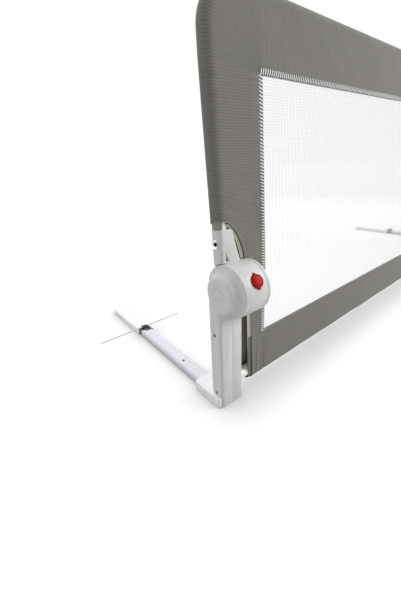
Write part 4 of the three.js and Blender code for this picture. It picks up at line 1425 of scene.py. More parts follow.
@dataclass
class Drum:
    """The turning half of the hinge: housing with the tube socket, cover, release button and bolt."""

    bench: Bench
    start: float = 22.5
    end: float = 60.0
    wall: float = 2.6
    lip: float = 0.2
    cover_edge: float = 2.4
    gap: float = 0.3
    bush_bore: float = 7.8
    boss_start: float = 34.0
    boss_radius: float = 12.0
    socket: tuple[float, float, float, float] = (12.6, 5.0, 38.6, 29.0)
    socket_top: float = 310.5
    socket_floor: float = 284.0
    flare: float = 13.0
    flare_top: float = 307.0
    flare_foot: float = 259.0
    bolt_head: float = 7.0
    bolt_hole: float = 3.2
    window_foot: float = 265.0
    button_x: float = 42.0
    button_degrees: float = 27.0
    button_radius: float = 10.4
    button_face: float = 7.6
    button_proud: float = 4.0
    button_travel: float = 4.5
    button_gap: float = 0.6
    button_inner: float = 28.75
    button_stem: float = 4.2
    eye_reach: float = 33.75
    eye_radius: float = 2.8
    key: float = 1.3
    key_reach: float = 13.0

    @property
    def button_turn(self) -> Matrix:
        """The turn from an upright tool at the hinge to the button's axis."""
        return RAIL.turned(math.pi / 2 - math.radians(self.button_degrees))

    def on_button(self, piece: Piece) -> Piece:
        """Turns an upright tool onto the button's axis."""
        piece.data.transform(self.button_turn)
        return piece

    def button_rod(self, radius: float, start: float, end: float) -> Piece:
        """Makes a round tool on the button's axis.

        Args:
            radius: Its radius.
            start: Distance of its near end from the hinge.
            end: Distance of its far end.

        Returns:
            The tool.
        """
        tool = self.bench.rod("tool", radius, Axis.Z, RAIL.hinge_z + start, RAIL.hinge_z + end,
                              (self.button_x, RAIL.hinge_y), 64)
        return self.on_button(tool)

    def button_keys(self, grow: float, start: float, end: float) -> Piece:
        """Makes the bar of the button's two ears.

        Args:
            grow: The clearance round it.
            start: Distance of its near end from the hinge.
            end: Distance of its far end.

        Returns:
            The bar.
        """
        half, reach = self.key + grow, self.key_reach + grow
        outline = rounded(self.button_x - half, RAIL.hinge_y - reach, self.button_x + half,
                          RAIL.hinge_y + reach, [half * 0.7] * 4, 4)
        return self.on_button(self.bench.prism("keys", outline, Axis.Z, RAIL.hinge_z + start,
                                               RAIL.hinge_z + end))

    def socket_block(self) -> Piece:
        """Models the socket: a round-cornered column that flares into the drum.

        Returns:
            The column.
        """
        bench = self.bench
        left, front, right, back = self.socket
        foot = RAIL.hinge_z + RAIL.drum_radius * math.sqrt(0.5)
        curve = [(right + self.flare * (1 - i / 10) ** 1.25,
                  self.flare_foot + (self.flare_top - self.flare_foot) * i / 10) for i in range(11)]
        side = [(left, foot), (right + self.flare, foot), *curve, (right, self.socket_top),
                (left, self.socket_top)]
        column = bench.prism("socket", side, Axis.Y, front, back)
        soft = bench.prism("soft", rounded(left, front, right + self.flare, back, (8.0, 3.2, 3.2, 11.0), 9),
                           Axis.Z, foot - PAST, self.socket_top + PAST)
        bench.combine(column, "INTERSECT", [soft])
        return column

    def window(self) -> Piece:
        """Makes the three-cornered window in the socket's front.

        Returns:
            The tool that cuts it.
        """
        left, front, foot = self.socket[0] + 3.6, self.socket[1], self.window_foot - 1.0
        outline = [(left, foot), (left + 13.0, foot), (left + 11.4, foot + 3.0), (left + 6.4, foot + 13),
                   (left + 4.0, foot + 14.5), (left + 1.0, foot + 9)]
        return self.bench.prism("pocket", outline, Axis.Y, front - PAST, front + 10)

    def rib(self) -> Piece:
        """Makes the upright rib that stands in the window.

        Returns:
            The rib.
        """
        left, front, foot = self.socket[0] + 3.8, self.socket[1], self.window_foot
        return self.bench.prism("rib", rounded(left, foot - PAST, left + 4.4, foot + 13, (0.0, 0.0, 2.1, 2.1), 6),
                                Axis.Y, front - 1.1, front + 12)

    def housing(self) -> None:
        """Models the turning housing with its socket, window, bolt seat and button mouth."""
        bench, inner, rim = self.bench, RAIL.drum_radius - self.wall, RAIL.drum_radius
        start, end = self.start, self.end
        solid = bench.spun("drum", [(start, 0.0), (start, rim - self.lip), (start + self.lip, rim), (end, rim),
                                    (end, 0.0)], RAIL.hinge)
        bench.join(solid, self.socket_block())
        bore = bench.rod("bore", RAIL.tube_radius + self.gap, Axis.Z, self.socket_floor, self.socket_top + PAST,
                         (RAIL.tube_x, RAIL.tube_y), 64)
        fixed = bench.rod("room", rim + 1.6, Axis.X, -PAST, start, RAIL.hinge, 96)
        left, right, spot = self.socket[0], self.socket[2] - 1.0, (RAIL.tube_y, RAIL.bolt_z)
        cup, shank = RAIL.bolt_cup, RAIL.bolt_bore
        bolt = bench.spun("hole", [(-PAST, 0.0), (-PAST, cup), (left + 6.0, cup), (left + 6.0, shank),
                                   (right, shank), (right, 0.0)], spot, 32)
        seat = bench.rod("seat", self.bolt_head + self.gap, Axis.X, -PAST, left + 0.9, spot, 48)
        inside = bench.spun("inside", [(start - PAST, 0.0), (start - PAST, inner), (end - self.wall, inner),
                                       (end - self.wall, self.boss_radius), (self.boss_start, self.boss_radius),
                                       (self.boss_start, 0.0)], RAIL.hinge)
        pin = bench.rod("hole", self.bush_bore, Axis.X, 10.0, end + PAST, RAIL.hinge, 48)
        foot = inner - self.button_travel
        mouth = self.button_rod(self.button_radius + self.button_gap, foot, rim + 10)
        keys = self.button_keys(self.gap, foot, rim + 10)
        bench.join(bench.cut(solid, self.window()), self.rib())
        bench.cut(solid, bore, fixed, bolt, seat, inside, pin, mouth, keys)
        bench.soften(solid, 0.3, 3, 42.0)
        bench.pair(solid, Palette.shell, Body.PANEL, ["drum_housing"])

    def cover(self) -> None:
        """Models the cover at the drum's inner end, with the shadow line beside its rim."""
        start, rim, inner = self.end + self.gap, RAIL.drum_radius, RAIL.drum_radius - self.wall
        end, edge, depth = RAIL.drum_end, self.cover_edge, self.end + 5.2
        round_edge = [(end - edge + edge * math.sin(math.radians(a)), rim - edge + edge * math.cos(math.radians(a)))
                      for a in range(0, 91, 15)]
        cover = self.bench.spun("drum_lid", [
            (start, inner), (start, rim), (start + 1.6, rim), (start + 1.9, rim - 0.9), (start + 2.5, rim - 0.9),
            (start + 2.8, rim), *round_edge, (end, rim - 9.0), (end - 0.8, rim - 11.0), (end - 0.8, 0.0),
            (depth, 0.0), (depth, inner)], RAIL.hinge)
        self.bench.smooth(cover)
        self.bench.pair(cover, Palette.shell, Body.PANEL, ["drum_cover"])

    def release_button(self) -> None:
        """Models the red release button with its two ears and its stem."""
        bench = self.bench
        face, skirt = RAIL.drum_radius + self.button_proud, RAIL.drum_radius - self.wall / 2 - 3.0
        radius, flat, edge = self.button_radius, self.button_face, RAIL.drum_radius + self.button_proud * 0.75
        profile = [(skirt, 0.0), (skirt, radius), (edge - 1.4, radius), (edge - 0.5, radius - 0.3),
                   (edge + 0.15, radius - 0.9), (face - 0.35, flat + 1.0), (face - 0.3, flat + 0.55),
                   (face - 0.6, flat + 0.3), (face - 0.6, flat - 0.1), (face - 0.15, flat - 0.4),
                   (face, flat - 0.9), (face, 0.0)]
        cap = bench.spun("release", [(x + self.button_x, r) for x, r in profile], RAIL.hinge, 64)
        pivot = RAIL.metres(self.button_x, *RAIL.hinge)
        stand = Matrix.Rotation(-math.pi / 2, 4, "Y")
        cap.data.transform(self.button_turn @ Matrix.Translation(pivot) @ stand @ Matrix.Translation(-pivot))
        keys = self.button_keys(0.0, skirt, RAIL.drum_radius + 1.0)
        bench.join(cap, keys, self.button_rod(self.button_stem, self.button_inner, skirt + 1.0))
        angle, reach = math.radians(self.button_degrees), self.eye_reach
        middle = (RAIL.hinge_y - reach * math.cos(angle), RAIL.hinge_z + reach * math.sin(angle))
        bench.cut(cap, bench.rod("hole", self.eye_radius, Axis.X, 16.0, 52.0, middle, 32))
        bench.soften(cap, 0.25, 2, 50.0)
        bench.pair(cap, Palette.red, Body.BUTTON, ["release_button"])

    def bolt(self) -> None:
        """Models the chrome bolt that holds the tube in its socket, with a near-black finish inside its hex socket
        as painted shade.
        """
        seat, head, end, hole = self.socket[0] + 0.6, self.bolt_head, self.socket[2] - 1.3, self.bolt_hole
        bolt = self.bench.spun("tube_bolt", [
            (seat + 4.2, 0.0), (seat + 4.2, hole - 0.3), (seat + 1.2, hole - 0.1), (seat + 0.3, hole + 0.2),
            (seat - 0.6, head - 1.0), (seat - 0.9, head - 0.5), (seat - 0.6, head), (seat, head), (seat, head - 0.6),
            (seat + 5.0, head - 0.6), (seat + 5.0, 2.6), (end - 0.5, 2.6), (end, 2.1), (end, 0.0)],
            (RAIL.tube_y, RAIL.bolt_z), 64)
        self.bench.smooth(bolt)
        low, high = RAIL.metres(seat + 1.2, RAIL.tube_y, RAIL.bolt_z), RAIL.metres(seat + 4.4, 0.0, 0.0)
        # Faces inside the hex socket: near-black finish, painted shade for the recess.
        inner = [face.index for face in bolt.data.polygons if low.x < face.center.x < high.x
                 and (face.center - low).yz.length < (hole + 0.1) * MM]
        for made in self.bench.pair(bolt, Palette.chrome, Body.PANEL, ["socket_bolt"]):
            self.bench.palette.add(made, Palette.hex_recess_shade, inner)

    def build(self) -> None:
        """Builds the drum's pieces."""
        self.housing()
        self.cover()
        self.release_button()
        self.bolt()


@dataclass
class TubeFrame:
    """The panel's bent corner tubes, its top tube, and the tube between the posts' feet."""

    bench: Bench
    wall: float = 1.2
    foot: float = 284.3
    joint: float = 88.0
    gap: float = 0.3
    low_y: float = 16.5
    low_z: float = 35.0
    low_start: float = 37.3
    sides: int = 48

    def corner(self) -> None:
        """Models the corner tube: a straight leg, a quarter bend and a short top run."""
        bench, radius, bend = self.bench, RAIL.tube_radius, RAIL.bend_radius
        ring = [RAIL.metres(RAIL.tube_x + radius * math.cos(math.tau * i / self.sides),
                            RAIL.tube_y + radius * math.sin(math.tau * i / self.sides), self.foot)
                for i in range(self.sides)]
        tube = bench.drawn("corner_pipe", ring, "NOTHING")
        bench.edit(tube)
        rise = (RAIL.tube_top - bend - self.foot) * MM
        bpy.ops.mesh.extrude_region_move(TRANSFORM_OT_translate={"value": (0.0, 0.0, rise)})
        bpy.ops.mesh.spin(steps=16, angle=-math.pi / 2, axis=(0.0, 1.0, 0.0),
                          center=RAIL.metres(RAIL.tube_x + bend, RAIL.tube_y, RAIL.tube_top - bend))
        run = (self.joint - RAIL.tube_x - bend) * MM
        bpy.ops.mesh.extrude_region_move(TRANSFORM_OT_translate={"value": (run, 0.0, 0.0)})
        bench.sew(tube)
        bench.thicken(tube, self.wall)
        spot = (RAIL.tube_y, RAIL.bolt_z)
        bench.cut(tube, bench.rod("hole", RAIL.bolt_bore, Axis.X, 0.0, 48.0, spot, 32),
                  bench.rod("hole", RAIL.bolt_cup, Axis.X, 0.0, 19.0, spot, 48))
        bench.smooth(tube)
        bench.pair(tube, Palette.enamel, Body.PANEL, ["corner_tube"])

    def straight(self, name: str, start: float, centre: Pair) -> Piece:
        """Models a straight tube between the legs.

        Args:
            name: The piece's name.
            start: Its left end.
            centre: Its (Y, Z).

        Returns:
            The tube.
        """
        y, z = centre
        radius, end = RAIL.tube_radius, RAIL.length - start
        profile = [(start, radius - self.wall), (start, radius - 0.3), (start + 0.3, radius),
                   (end - 0.3, radius), (end, radius - 0.3), (end, radius - self.wall)]
        tube = self.bench.spun(name, profile, (y, z), self.sides)
        return self.bench.smooth(tube)

    def build(self) -> None:
        """Builds the tubes."""
        self.corner()
        top = self.straight("top_pipe", self.joint + self.gap, (RAIL.tube_y, RAIL.tube_top))
        top.data.transform(RAIL.leaning)
        self.bench.seat(top, Palette.enamel, "panel", ["top_tube"])
        low = self.straight("low_pipe", self.low_start, (self.low_y, self.low_z))
        self.bench.seat(low, Palette.enamel, "base", ["bottom_tube"])


@dataclass(frozen=True)
class Station:
    """One row across the cover: where its seam and its tube lie, and how much of it there is.

    Args:
        seam: (X, Z) of the net's seam.
        tube: (X, Z) of the tube's middle.
        run: Length along the cover, for the ribs.
        open_front: X of the front layer's cut edge, or None where the sleeve is closed.
        open_back: X of the back layer's cut edge, or None.
        level: Y of the front layer where it lies over the bottom bar, with no back layer, or None.
    """

    seam: Pair
    tube: Pair
    run: float
    open_front: float | None = None
    open_back: float | None = None
    level: float | None = None

    @property
    def centre(self) -> float:
        """Distance from the seam to the tube's middle."""
        return math.hypot(self.tube[0] - self.seam[0], self.tube[1] - self.seam[1])

    def mirrored(self, total: float) -> "Station":
        """Mirrors the row to the right leg.

        Args:
            total: Length along the whole cover.

        Returns:
            The right leg's row.
        """
        cuts = (None if x is None else RAIL.length - x for x in (self.open_front, self.open_back))
        (x0, z0), (x1, z1) = self.seam, self.tube
        return Station((RAIL.length - x0, z0), (RAIL.length - x1, z1), total - self.run, *cuts, self.level)


@dataclass
class Grid:
    """Rows of points in metres, each point with its place on the flat cloth."""

    points: list[list[Vector]] = field(default_factory=list)
    flats: list[list[Pair]] = field(default_factory=list)

    def row(self) -> None:
        """Starts a new row."""
        self.points.append([])
        self.flats.append([])

    def put(self, point: Vector, across: float, along: float) -> None:
        """Adds a point to the last row, with its place on the flat cloth in millimetres."""
        self.points[-1].append(point)
        self.flats[-1].append((across * MM, along * MM))

    def reverse(self) -> None:
        """Turns the order of the rows round, so that the cloth faces the other way."""
        self.points.reverse()
        self.flats.reverse()


def strand_faces(start: int, rings: int) -> list[Face]:
    """Lists the faces of a strand of four flats with closed ends.

    Args:
        start: Number of its first point.
        rings: How many rings of four points it has.

    Returns:
        The faces.
    """
    last = start + 4 * (rings - 1)
    faces: list[Face] = []
    for ring in range(start, last, 4):
        for k in range(4):
            a, b = ring + k, ring + (k + 1) % 4
            faces.append((a, b, b + 4, a + 4))
    return [*faces, (start + 3, start + 2, start + 1, start), (last, last + 1, last + 2, last + 3)]


class Weaver:
    """Makes sheets of cloth from grids of points, and threads and tapes from paths."""

    def __init__(self, bench: Bench) -> None:
        """Keeps the bench."""
        self.bench = bench

    def sheet(self, name: str, grids: Sequence[Grid], thickness: float) -> Piece:
        """Joins grids of points into one sheet with a thickness and a flat map.

        Args:
            name: The sheet's name.
            grids: The grids, which lie on the sheet's outside.
            thickness: The cloth's thickness in millimetres.

        Returns:
            The closed sheet.
        """
        points: list[Vector] = []
        flats: list[Pair] = []
        faces: list[Face] = []
        for grid in grids:
            start, width = len(points), len(grid.points[0])
            for row, flat in zip(grid.points, grid.flats):
                points.extend(row)
                flats.extend(flat)
            faces += [(a, a + 1, a + width + 1, a + width) for line in range(start, len(points) - width, width)
                      for a in range(line, line + width - 1)]
        piece = self.bench.mesh(name, points, faces)
        layer = piece.data.uv_layers.new(name="flat")
        for loop in piece.data.loops:
            layer.data[loop.index].uv = flats[loop.vertex_index]
        self.bench.edit(piece)
        bpy.ops.mesh.remove_doubles(threshold=MERGE)
        self.bench.clear()
        self.bench.thicken(piece, thickness)
        return self.bench.smooth(piece, 50.0)

    def ribbon(self, name: str, path: Sequence[Vector], across: Vector, up: Vector, size: Pair) -> Piece:
        """Makes one continuous thread or tape of four flats along a path.

        Args:
            name: The piece's name.
            path: Its points in metres.
            across: The direction of its width.
            up: The direction of its thickness.
            size: Half its width and half its thickness in millimetres.

        Returns:
            The closed piece.
        """
        half, thick = size
        points = [spot + across * (u * half * MM) + up * (v * thick * MM) for spot in path for u, v in CORNERS]
        piece = self.bench.mesh(name, points, strand_faces(0, len(path)))
        self.bench.edit(piece)
        self.bench.close()
        return piece


@dataclass
class Cover:
    """The grey cloth cover: side bands, round corners, top band and bottom bar, with their stitching.

    A pair is a low and a high end, or half a width and half a thickness. `low_cut` is X of the cut edge below the
    drum and its slope, `strip` is X of the back tail's edges and its foot, `strokes` are the corners of a stitch as
    (share of a pitch, edge, depth), and `cuff_arc` is the cuff's radii and angles.
    """

    bench: Bench
    weaver: Weaver
    front: float = 5.2
    seam_thick: float = 3.2
    thickness: float = 0.9
    cut_x: float = 70.0
    low_cut: Pair = (72.5, 0.035)
    cut_clear: float = 0.4
    arch_foot: float = 240.0
    arch_span: float = 49.0
    arch_rise: float = 84.0
    back_reach: float = 10.0
    low_back_x: float = 53.0
    hem_width: float = 5.0
    hem_lift: float = 0.8
    hem_drop: Pair = (0.22, 6.0)
    bar_y: float = 4.7
    bar_step: float = 26.0
    neck_run: float = 37.0
    turn_run: float = 70.7
    bar_reach: float = 680.0
    sunk: float = 1.5
    strip: Triple = (57.0, 78.0, 46.0)
    columns: int = 26
    arc_columns: int = 16
    stitch_pitch: float = 4.5
    stitch_width: float = 8.6
    stitch_inset: float = 2.6
    stitch_share: float = 0.86
    stitch_rise: float = 1.0
    binding_rise: float = 0.6
    thread: Pair = (0.85, 0.24)
    strokes: tuple[Triple, ...] = ((0.0, -1, 0.0), (0.5, 1, 0.0), (0.56, 1, 0.75), (0.94, -1, 0.75))
    binding: Pair = (3.8, 0.2)
    tape_foot: float = 46.0
    tape_span: Pair = (261.6, 318.0)
    cuff_arc: tuple[float, float, float, float] = (10.3, 10.9, 60.0, 250.0)
    cuff_span: Pair = (311.4, 328.0)
    blend_low: float = 204.0
    blend_high: float = 234.0
    crease: float = 1.1

    @property
    def back_seam(self) -> float:
        """Y of the back layer at the seam."""
        return self.front + self.seam_thick

    @property
    def drum_low(self) -> float:
        """Height of the cut edge's top, just below the drum."""
        return RAIL.hinge_z - RAIL.drum_radius - 3

    @property
    def drum_high(self) -> float:
        """Height of the cut-out's top, just above the drum."""
        return RAIL.hinge_z + RAIL.drum_radius + self.cut_clear

    def arch_x(self, z: float, reach: float = 0.0) -> float:
        """Finds the arch's edge at a height.

        Args:
            z: The height.
            reach: How much nearer to the socket the edge lies, for the back layer.

        Returns:
            X of the edge.
        """
        if z < self.drum_high:
            return self.cut_x
        share = (z - self.arch_foot) / self.arch_rise
        left = RAIL.tube_x - 12.0
        return max(left, left + self.arch_span * math.sqrt(1 - share * share) - reach)

    def low_edge(self, z: float) -> float:
        """Returns X of the front layer's cut edge below the drum, which runs outwards to its foot."""
        first, slope = self.low_cut
        return first + slope * (RAIL.hinge_z - RAIL.drum_radius - z)

    def side_stations(self) -> list[Station]:
        """Lays out the rows up the left side, from the bar's foot to the corner.

        Returns:
            The rows.
        """
        rows: list[Station] = []
        radius, seam_x, seam_z = RAIL.sleeve_radius, RAIL.seam_x, RAIL.seam_z
        centre = RAIL.bar_high - RAIL.bar_low - radius

        def add(z: float, *cuts: float | None) -> None:
            """Adds a level row, with what it has of a front edge, a back edge and a level."""
            rows.append(Station((seam_x, z), (RAIL.tube_x, z), z, *cuts))

        for degrees in (104, 92, 80, 68, 56, 44, 32, 20, 9):
            angle = math.radians(degrees)
            z = RAIL.bar_high - centre - radius * math.sin(angle)
            add(z, self.low_edge(z), None, self.bar_y + radius - radius * math.cos(angle))
        for i in range(24):
            z = RAIL.bar_high - centre * (1 - i / 24)
            add(z, self.low_edge(z), None, self.bar_y)
        low, high = self.drum_low, self.drum_high
        for i in range(15):
            z = RAIL.bar_high + (low - RAIL.bar_high) * i / 14
            add(z, self.low_edge(z), self.low_back_x)
        for z in (low + 0.4, *(low + (high - low) * i / 34 for i in range(1, 34)), high - 0.2):
            add(z, self.cut_x, self.cut_x)
        first = math.asin((high - self.arch_foot) / self.arch_rise)
        for i in range(30):
            z = self.arch_foot + self.arch_rise * math.sin(first + (math.pi / 2 - first) * (i / 30) ** 0.8)
            add(z, self.arch_x(z), self.arch_x(z, self.back_reach))
        crown = self.arch_foot + self.arch_rise
        for i in range(57):
            add(crown + (seam_z - crown) * i / 56)
        rise = RAIL.tube_top - RAIL.bend_radius - seam_z
        for i in range(1, 13):
            tube = (RAIL.tube_x, seam_z + rise * (i / 12))
            rows.append(Station((seam_x, seam_z), tube, seam_z + self.neck_run * (i / 12)))
        return rows

    def stations(self) -> list[Station]:
        """Lays out all rows from the left foot over the top to the right foot.

        Returns:
            The rows.
        """
        rows = self.side_stations()
        bend, top = RAIL.bend_radius, RAIL.tube_top
        middle = RAIL.tube_x + bend
        corner, run = (RAIL.seam_x, RAIL.seam_z), rows[-1].run
        for i in range(1, 17):
            angle = math.pi - math.pi / 2 * i / 16
            tube = (middle + bend * math.cos(angle), top - bend + bend * math.sin(angle))
            rows.append(Station(corner, tube, run + self.turn_run * i / 16))
        run = rows[-1].run
        for i in range(1, 9):
            tube = (middle + (RAIL.seam_x - middle) * i / 8, top)
            rows.append(Station(corner, tube, run + self.neck_run * i / 8))
        run = rows[-1].run
        half = RAIL.length / 2 - RAIL.seam_x
        for i in range(1, 131):
            x = RAIL.seam_x + half * i / 130
            rows.append(Station((x, RAIL.seam_z), (x, top), run + half * i / 130))
        return rows + [row.mirrored(2 * rows[-1].run) for row in rows[-2::-1]]

    def section(self, centre: float) -> tuple[list[Pair], float]:
        """Draws the sleeve's section, from the front seam round the tube to the back seam.

        Args:
            centre: Distance from the seam to the tube's middle.

        Returns:
            Points as (distance from the seam, Y), and the length of the front half.
        """
        radius, count = RAIL.sleeve_radius, self.columns
        front = [(centre * i / count, self.front) for i in range(count)]
        across = self.front + radius - self.back_seam
        touch = math.acos(radius / math.hypot(centre, across)) + math.atan2(across, centre)
        sweep = math.pi / 2 + math.pi - touch
        turns = [sweep * i / self.arc_columns for i in range(self.arc_columns + 1)]
        arc = [(centre + radius * math.sin(a), self.front + radius - radius * math.cos(a)) for a in turns]
        end = arc[-1]
        back = [(end[0] * (1 - i / count), end[1] + (self.back_seam - end[1]) * i / count)
                for i in range(1, count + 1)]
        return front + arc + back, centre + math.pi / 2 * radius

    def half_row(self, row: Station, back: bool) -> list[tuple[float, Pair]]:
        """Spaces one layer's points between its seam and its cut edge or the sleeve's middle.

        Args:
            row: The row.
            back: Whether this is the back layer.

        Returns:
            For each point its length along the section and its (distance from the seam, Y).
        """
        line, limit = self.section(row.centre)
        runs = lengths(line)

        def at(length: float) -> Pair:
            """Finds the section's point at a length along it.

            Args:
                length: The length.

            Returns:
                The point.
            """
            k = next((k for k in range(1, len(runs)) if length <= runs[k] + 1e-9), len(runs) - 1)
            share = min(1.0, (length - runs[k - 1]) / (runs[k] - runs[k - 1]))
            (a, b), (c, d) = line[k - 1], line[k]
            return a + (c - a) * share, b + (d - b) * share

        edge = row.open_back if back else row.open_front
        if edge is not None:
            reach = abs(row.seam[0] - edge)
            order = range(len(line))[::-1] if back else range(len(line))
            kept = next((k for k in order if line[k][0] >= reach), None)
            if kept is not None:
                near = kept + 1 if back else kept - 1
                span = line[kept][0] - line[near][0]
                share = (reach - line[near][0]) / span if span else 0.0
                cut = runs[near] + (runs[kept] - runs[near]) * share
                limit = max(cut, limit) if back else min(cut, limit)
        first, last = (limit, runs[-1]) if back else (0.0, limit)
        count = self.columns + self.arc_columns // 2
        return [(s, at(s)) for s in (first + (last - first) * i / count for i in range(count + 1))]

    def swell(self, x: float, z: float, distance: float, back: bool) -> float:
        """Works out how far the cloth bulges or dips.

        Args:
            x: Along the rail.
            z: Height.
            distance: From the seam.
            back: Whether it is the back layer.

        Returns:
            Millimetres outwards.
        """
        fade = clamped(distance / 22) * clamped((96 - distance) / 26)
        seed = 40.0 if back else 0.0
        slow = noise.noise(Vector((x / 90, seed, z / 55)))
        pull = noise.noise(Vector((x / 34 + 9, seed, z / 150)))
        crown = self.arch_foot + self.arch_rise
        near = math.exp(-((z - crown - 22) / 16) ** 2) if x < 130 or x > RAIL.length - 130 else 0.0
        folds = math.sin((z + distance * 0.22) / 2.6) * near * 0.55
        return fade * (slow * self.crease + pull * self.crease * 0.5) + folds * min(1.0, distance / 50)

    def step(self, z: float) -> float:
        """Returns how far the front layer stands out at a height, to lie over the bottom bar."""
        return eased(max(0.0, 1 - (z - RAIL.bar_high) / self.bar_step)) * (self.front - self.bar_y)

    def lift(self, row: Station, distance: float, hemmed: bool, back: bool) -> float:
        """Works out how far a point stands off its layer.

        Args:
            row: The point's row.
            distance: From the seam.
            hemmed: Whether it lies in a hem.
            back: Whether it lies on the back layer.

        Returns:
            Millimetres outwards.
        """
        x, z = row.seam
        lift = self.swell(x + distance, z, distance, back) + (self.hem_lift if hemmed else 0.0)
        if row.level is not None or (z < 160 and not back):
            near = math.exp(-((z - 52) / 34) ** 2) * min(1.0, distance / 10)
            lift = lift * 0.4 + near * (0.75 * math.sin(distance / 2.1 + z / 60) + 0.3)
        return lift if back or row.level is not None else lift + self.step(z)

    def place(self, row: Station, distance: float, y: float) -> Vector:
        """Places a point of a row.

        Args:
            row: The row.
            distance: From the seam towards the tube.
            y: Across the cloth.

        Returns:
            The point in metres.
        """
        step = Vector((row.tube[0] - row.seam[0], row.tube[1] - row.seam[1])).normalized()
        x, z = row.seam[0] + step.x * distance, row.seam[1] + step.y * distance
        return self.lean(x, y, z)

    def lean(self, x: float, y: float, z: float, level: float | None = None) -> Vector:
        """Turns millimetres into a point that leans with the panel above the fold and stands upright below.

        Args:
            x: Along the rail.
            y: Into the bed.
            z: Up.
            level: The height that decides how far it leans, where that isn't its own.

        Returns:
            The point in metres.
        """
        point = RAIL.metres(x, y, z)
        share = clamped(((z if level is None else level) - self.blend_low) / (self.blend_high - self.blend_low))
        return point.lerp(RAIL.leaning @ point, eased(share))

    def layer(self, rows: Sequence[Station], back: bool) -> Grid:
        """Lays out one layer of the cover.

        Args:
            rows: The cover's rows.
            back: Whether this is the back layer.

        Returns:
            The layer.
        """
        grid, (most, reach) = Grid(), self.hem_drop
        for row in rows:
            if back and row.level is not None:
                continue
            laid = self.half_row(row, back)
            edge = laid[0][0] if back else laid[-1][0]
            over = row.seam[1] - self.drum_high
            falls = back and over > -0.05 and row.seam[1] < RAIL.seam_z
            drop = most * max(0.0, 1 - over / reach) if falls else 0.0
            grid.row()
            for s, (distance, y) in laid:
                hemmed = row.open_front is not None and abs(s - edge) < self.hem_width
                lift = self.lift(row, distance, hemmed, back)
                level = y if row.level is None else row.level
                point = self.place(row, distance, level + lift if back else level - lift)
                point.z -= drop * max(0.0, y - self.front) * MM
                grid.put(point, s, row.run)
        return grid

    def back_strip(self, side: Side) -> Grid:
        """Lays out the back layer's tail beside the post, behind the bottom bar's end.

        Args:
            side: The leg that it belongs to.

        Returns:
            The tail.
        """
        grid = Grid()
        left, right, low = self.strip
        line, _ = self.section(RAIL.seam_x - RAIL.tube_x)
        end_distance, end_y = line[self.columns + self.arc_columns]
        for j in range(15):
            z = low + (RAIL.bar_high + 0.4 - low) * j / 14
            share = (RAIL.bar_high - z) / (RAIL.bar_high - low)
            grid.row()
            for i in range(9):
                x = right + (left - right) * i / 8
                plane = self.back_seam + (end_y - self.back_seam) * (RAIL.seam_x - x) / end_distance
                behind = self.bar_y + self.seam_thick + 0.24 * (RAIL.bar_high - z) + 1.4
                y = max(plane, plane + (behind - plane) * min(1.0, share * 3))
                wave = 0.8 * math.sin(z / 9.0 + x / 5)
                across = x if side is Side.LEFT else RAIL.length - x
                grid.put(RAIL.metres(across, y + wave * share, z), RAIL.seam_x - x, z)
        if side is Side.LEFT:
            grid.reverse()
        return grid

    def cross_fold(self, piece: Piece) -> None:
        """Bakes a piece's placement into its mesh."""
        RAIL.metres(0.0, 0.0, self.blend_low)
        RAIL.metres(0.0, 0.0, self.blend_high)
        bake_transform(piece)

    def cover(self) -> tuple[Piece, Pair]:
        """Makes the cover's cloth.

        Returns:
            The cloth, and its flat size in metres.
        """
        rows = self.stations()
        grids = [self.layer(rows, back) for back in (False, True)] + [self.back_strip(side) for side in Side]
        piece = self.weaver.sheet("cloth_cover", grids, self.thickness)
        self.bench.finish(piece, Palette.cloth)
        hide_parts("left_upper_band", "right_upper_band", "left_lower_band", "right_lower_band", "top_band")
        self.cross_fold(piece)
        width = 2 * (RAIL.seam_x - RAIL.tube_x) + math.pi * RAIL.sleeve_radius
        return piece, (width * MM, rows[-1].run * MM)

    def bar(self) -> None:
        """Makes the bottom bar's cloth round the low tube."""
        radius = RAIL.sleeve_radius
        centre = RAIL.bar_high - RAIL.bar_low - radius
        line, _ = self.section(centre)
        runs = lengths(line)
        first, seam = RAIL.length / 2 - self.bar_reach, RAIL.seam_x
        ends = [first, first + 12, first + 24, seam - 1.4, seam - 0.3]
        even = [seam + (RAIL.length - 2 * seam) * j / 156 for j in range(1, 156)]
        grid = Grid()
        for x in [*ends, *even, *(RAIL.length - x for x in reversed(ends))]:
            near = min(x, RAIL.length - x) - self.cut_x
            grid.row()
            for k, (distance, y) in enumerate(line):
                z = RAIL.bar_high - distance
                if near < seam - self.cut_x - 1:
                    z += self.sunk * max(0.0, (distance - centre) / radius)
                    lift = -self.sunk * max(0.0, 1 - (y - self.front) / radius)
                else:
                    fan = math.sin((near - distance * 0.25) / 4.2) * math.exp(-(near / 46) ** 2) * 0.7
                    swell = noise.noise(Vector((x / 60, 7.0, z / 60))) * self.crease + fan
                    lift = swell * min(1.0, distance / 20) * (-1 if k > len(line) // 2 else 1)
                grid.put(RAIL.metres(x, y - (self.front - self.bar_y) - lift, z), runs[k], x)
        grid.reverse()
        piece = self.weaver.sheet("cloth_bar", [grid], self.thickness)
        self.bench.seat(piece, Palette.cloth, "base", ["bottom_band"])

    def cuffs(self) -> list[Piece]:
        """Makes the grey cuff that wraps each tube's outer side under the hem; its tone is painted shade, standing
        in for the hem's shadow on the tube.

        Returns:
            The cuffs.
        """
        inner, outer, first, last = self.cuff_arc
        turns = [math.radians(first + (last - first) * i / 24) for i in range(25)]
        arc = [(RAIL.tube_x + radius * math.cos(a), RAIL.tube_y + radius * math.sin(a))
               for radius, way in ((outer, turns), (inner, turns[::-1])) for a in way]
        cuff = self.bench.prism("hem_cuff", arc, Axis.Z, *self.cuff_span)
        self.bench.smooth(cuff, 50.0)
        return self.bench.pair(cuff, Palette.shade, Body.PANEL)

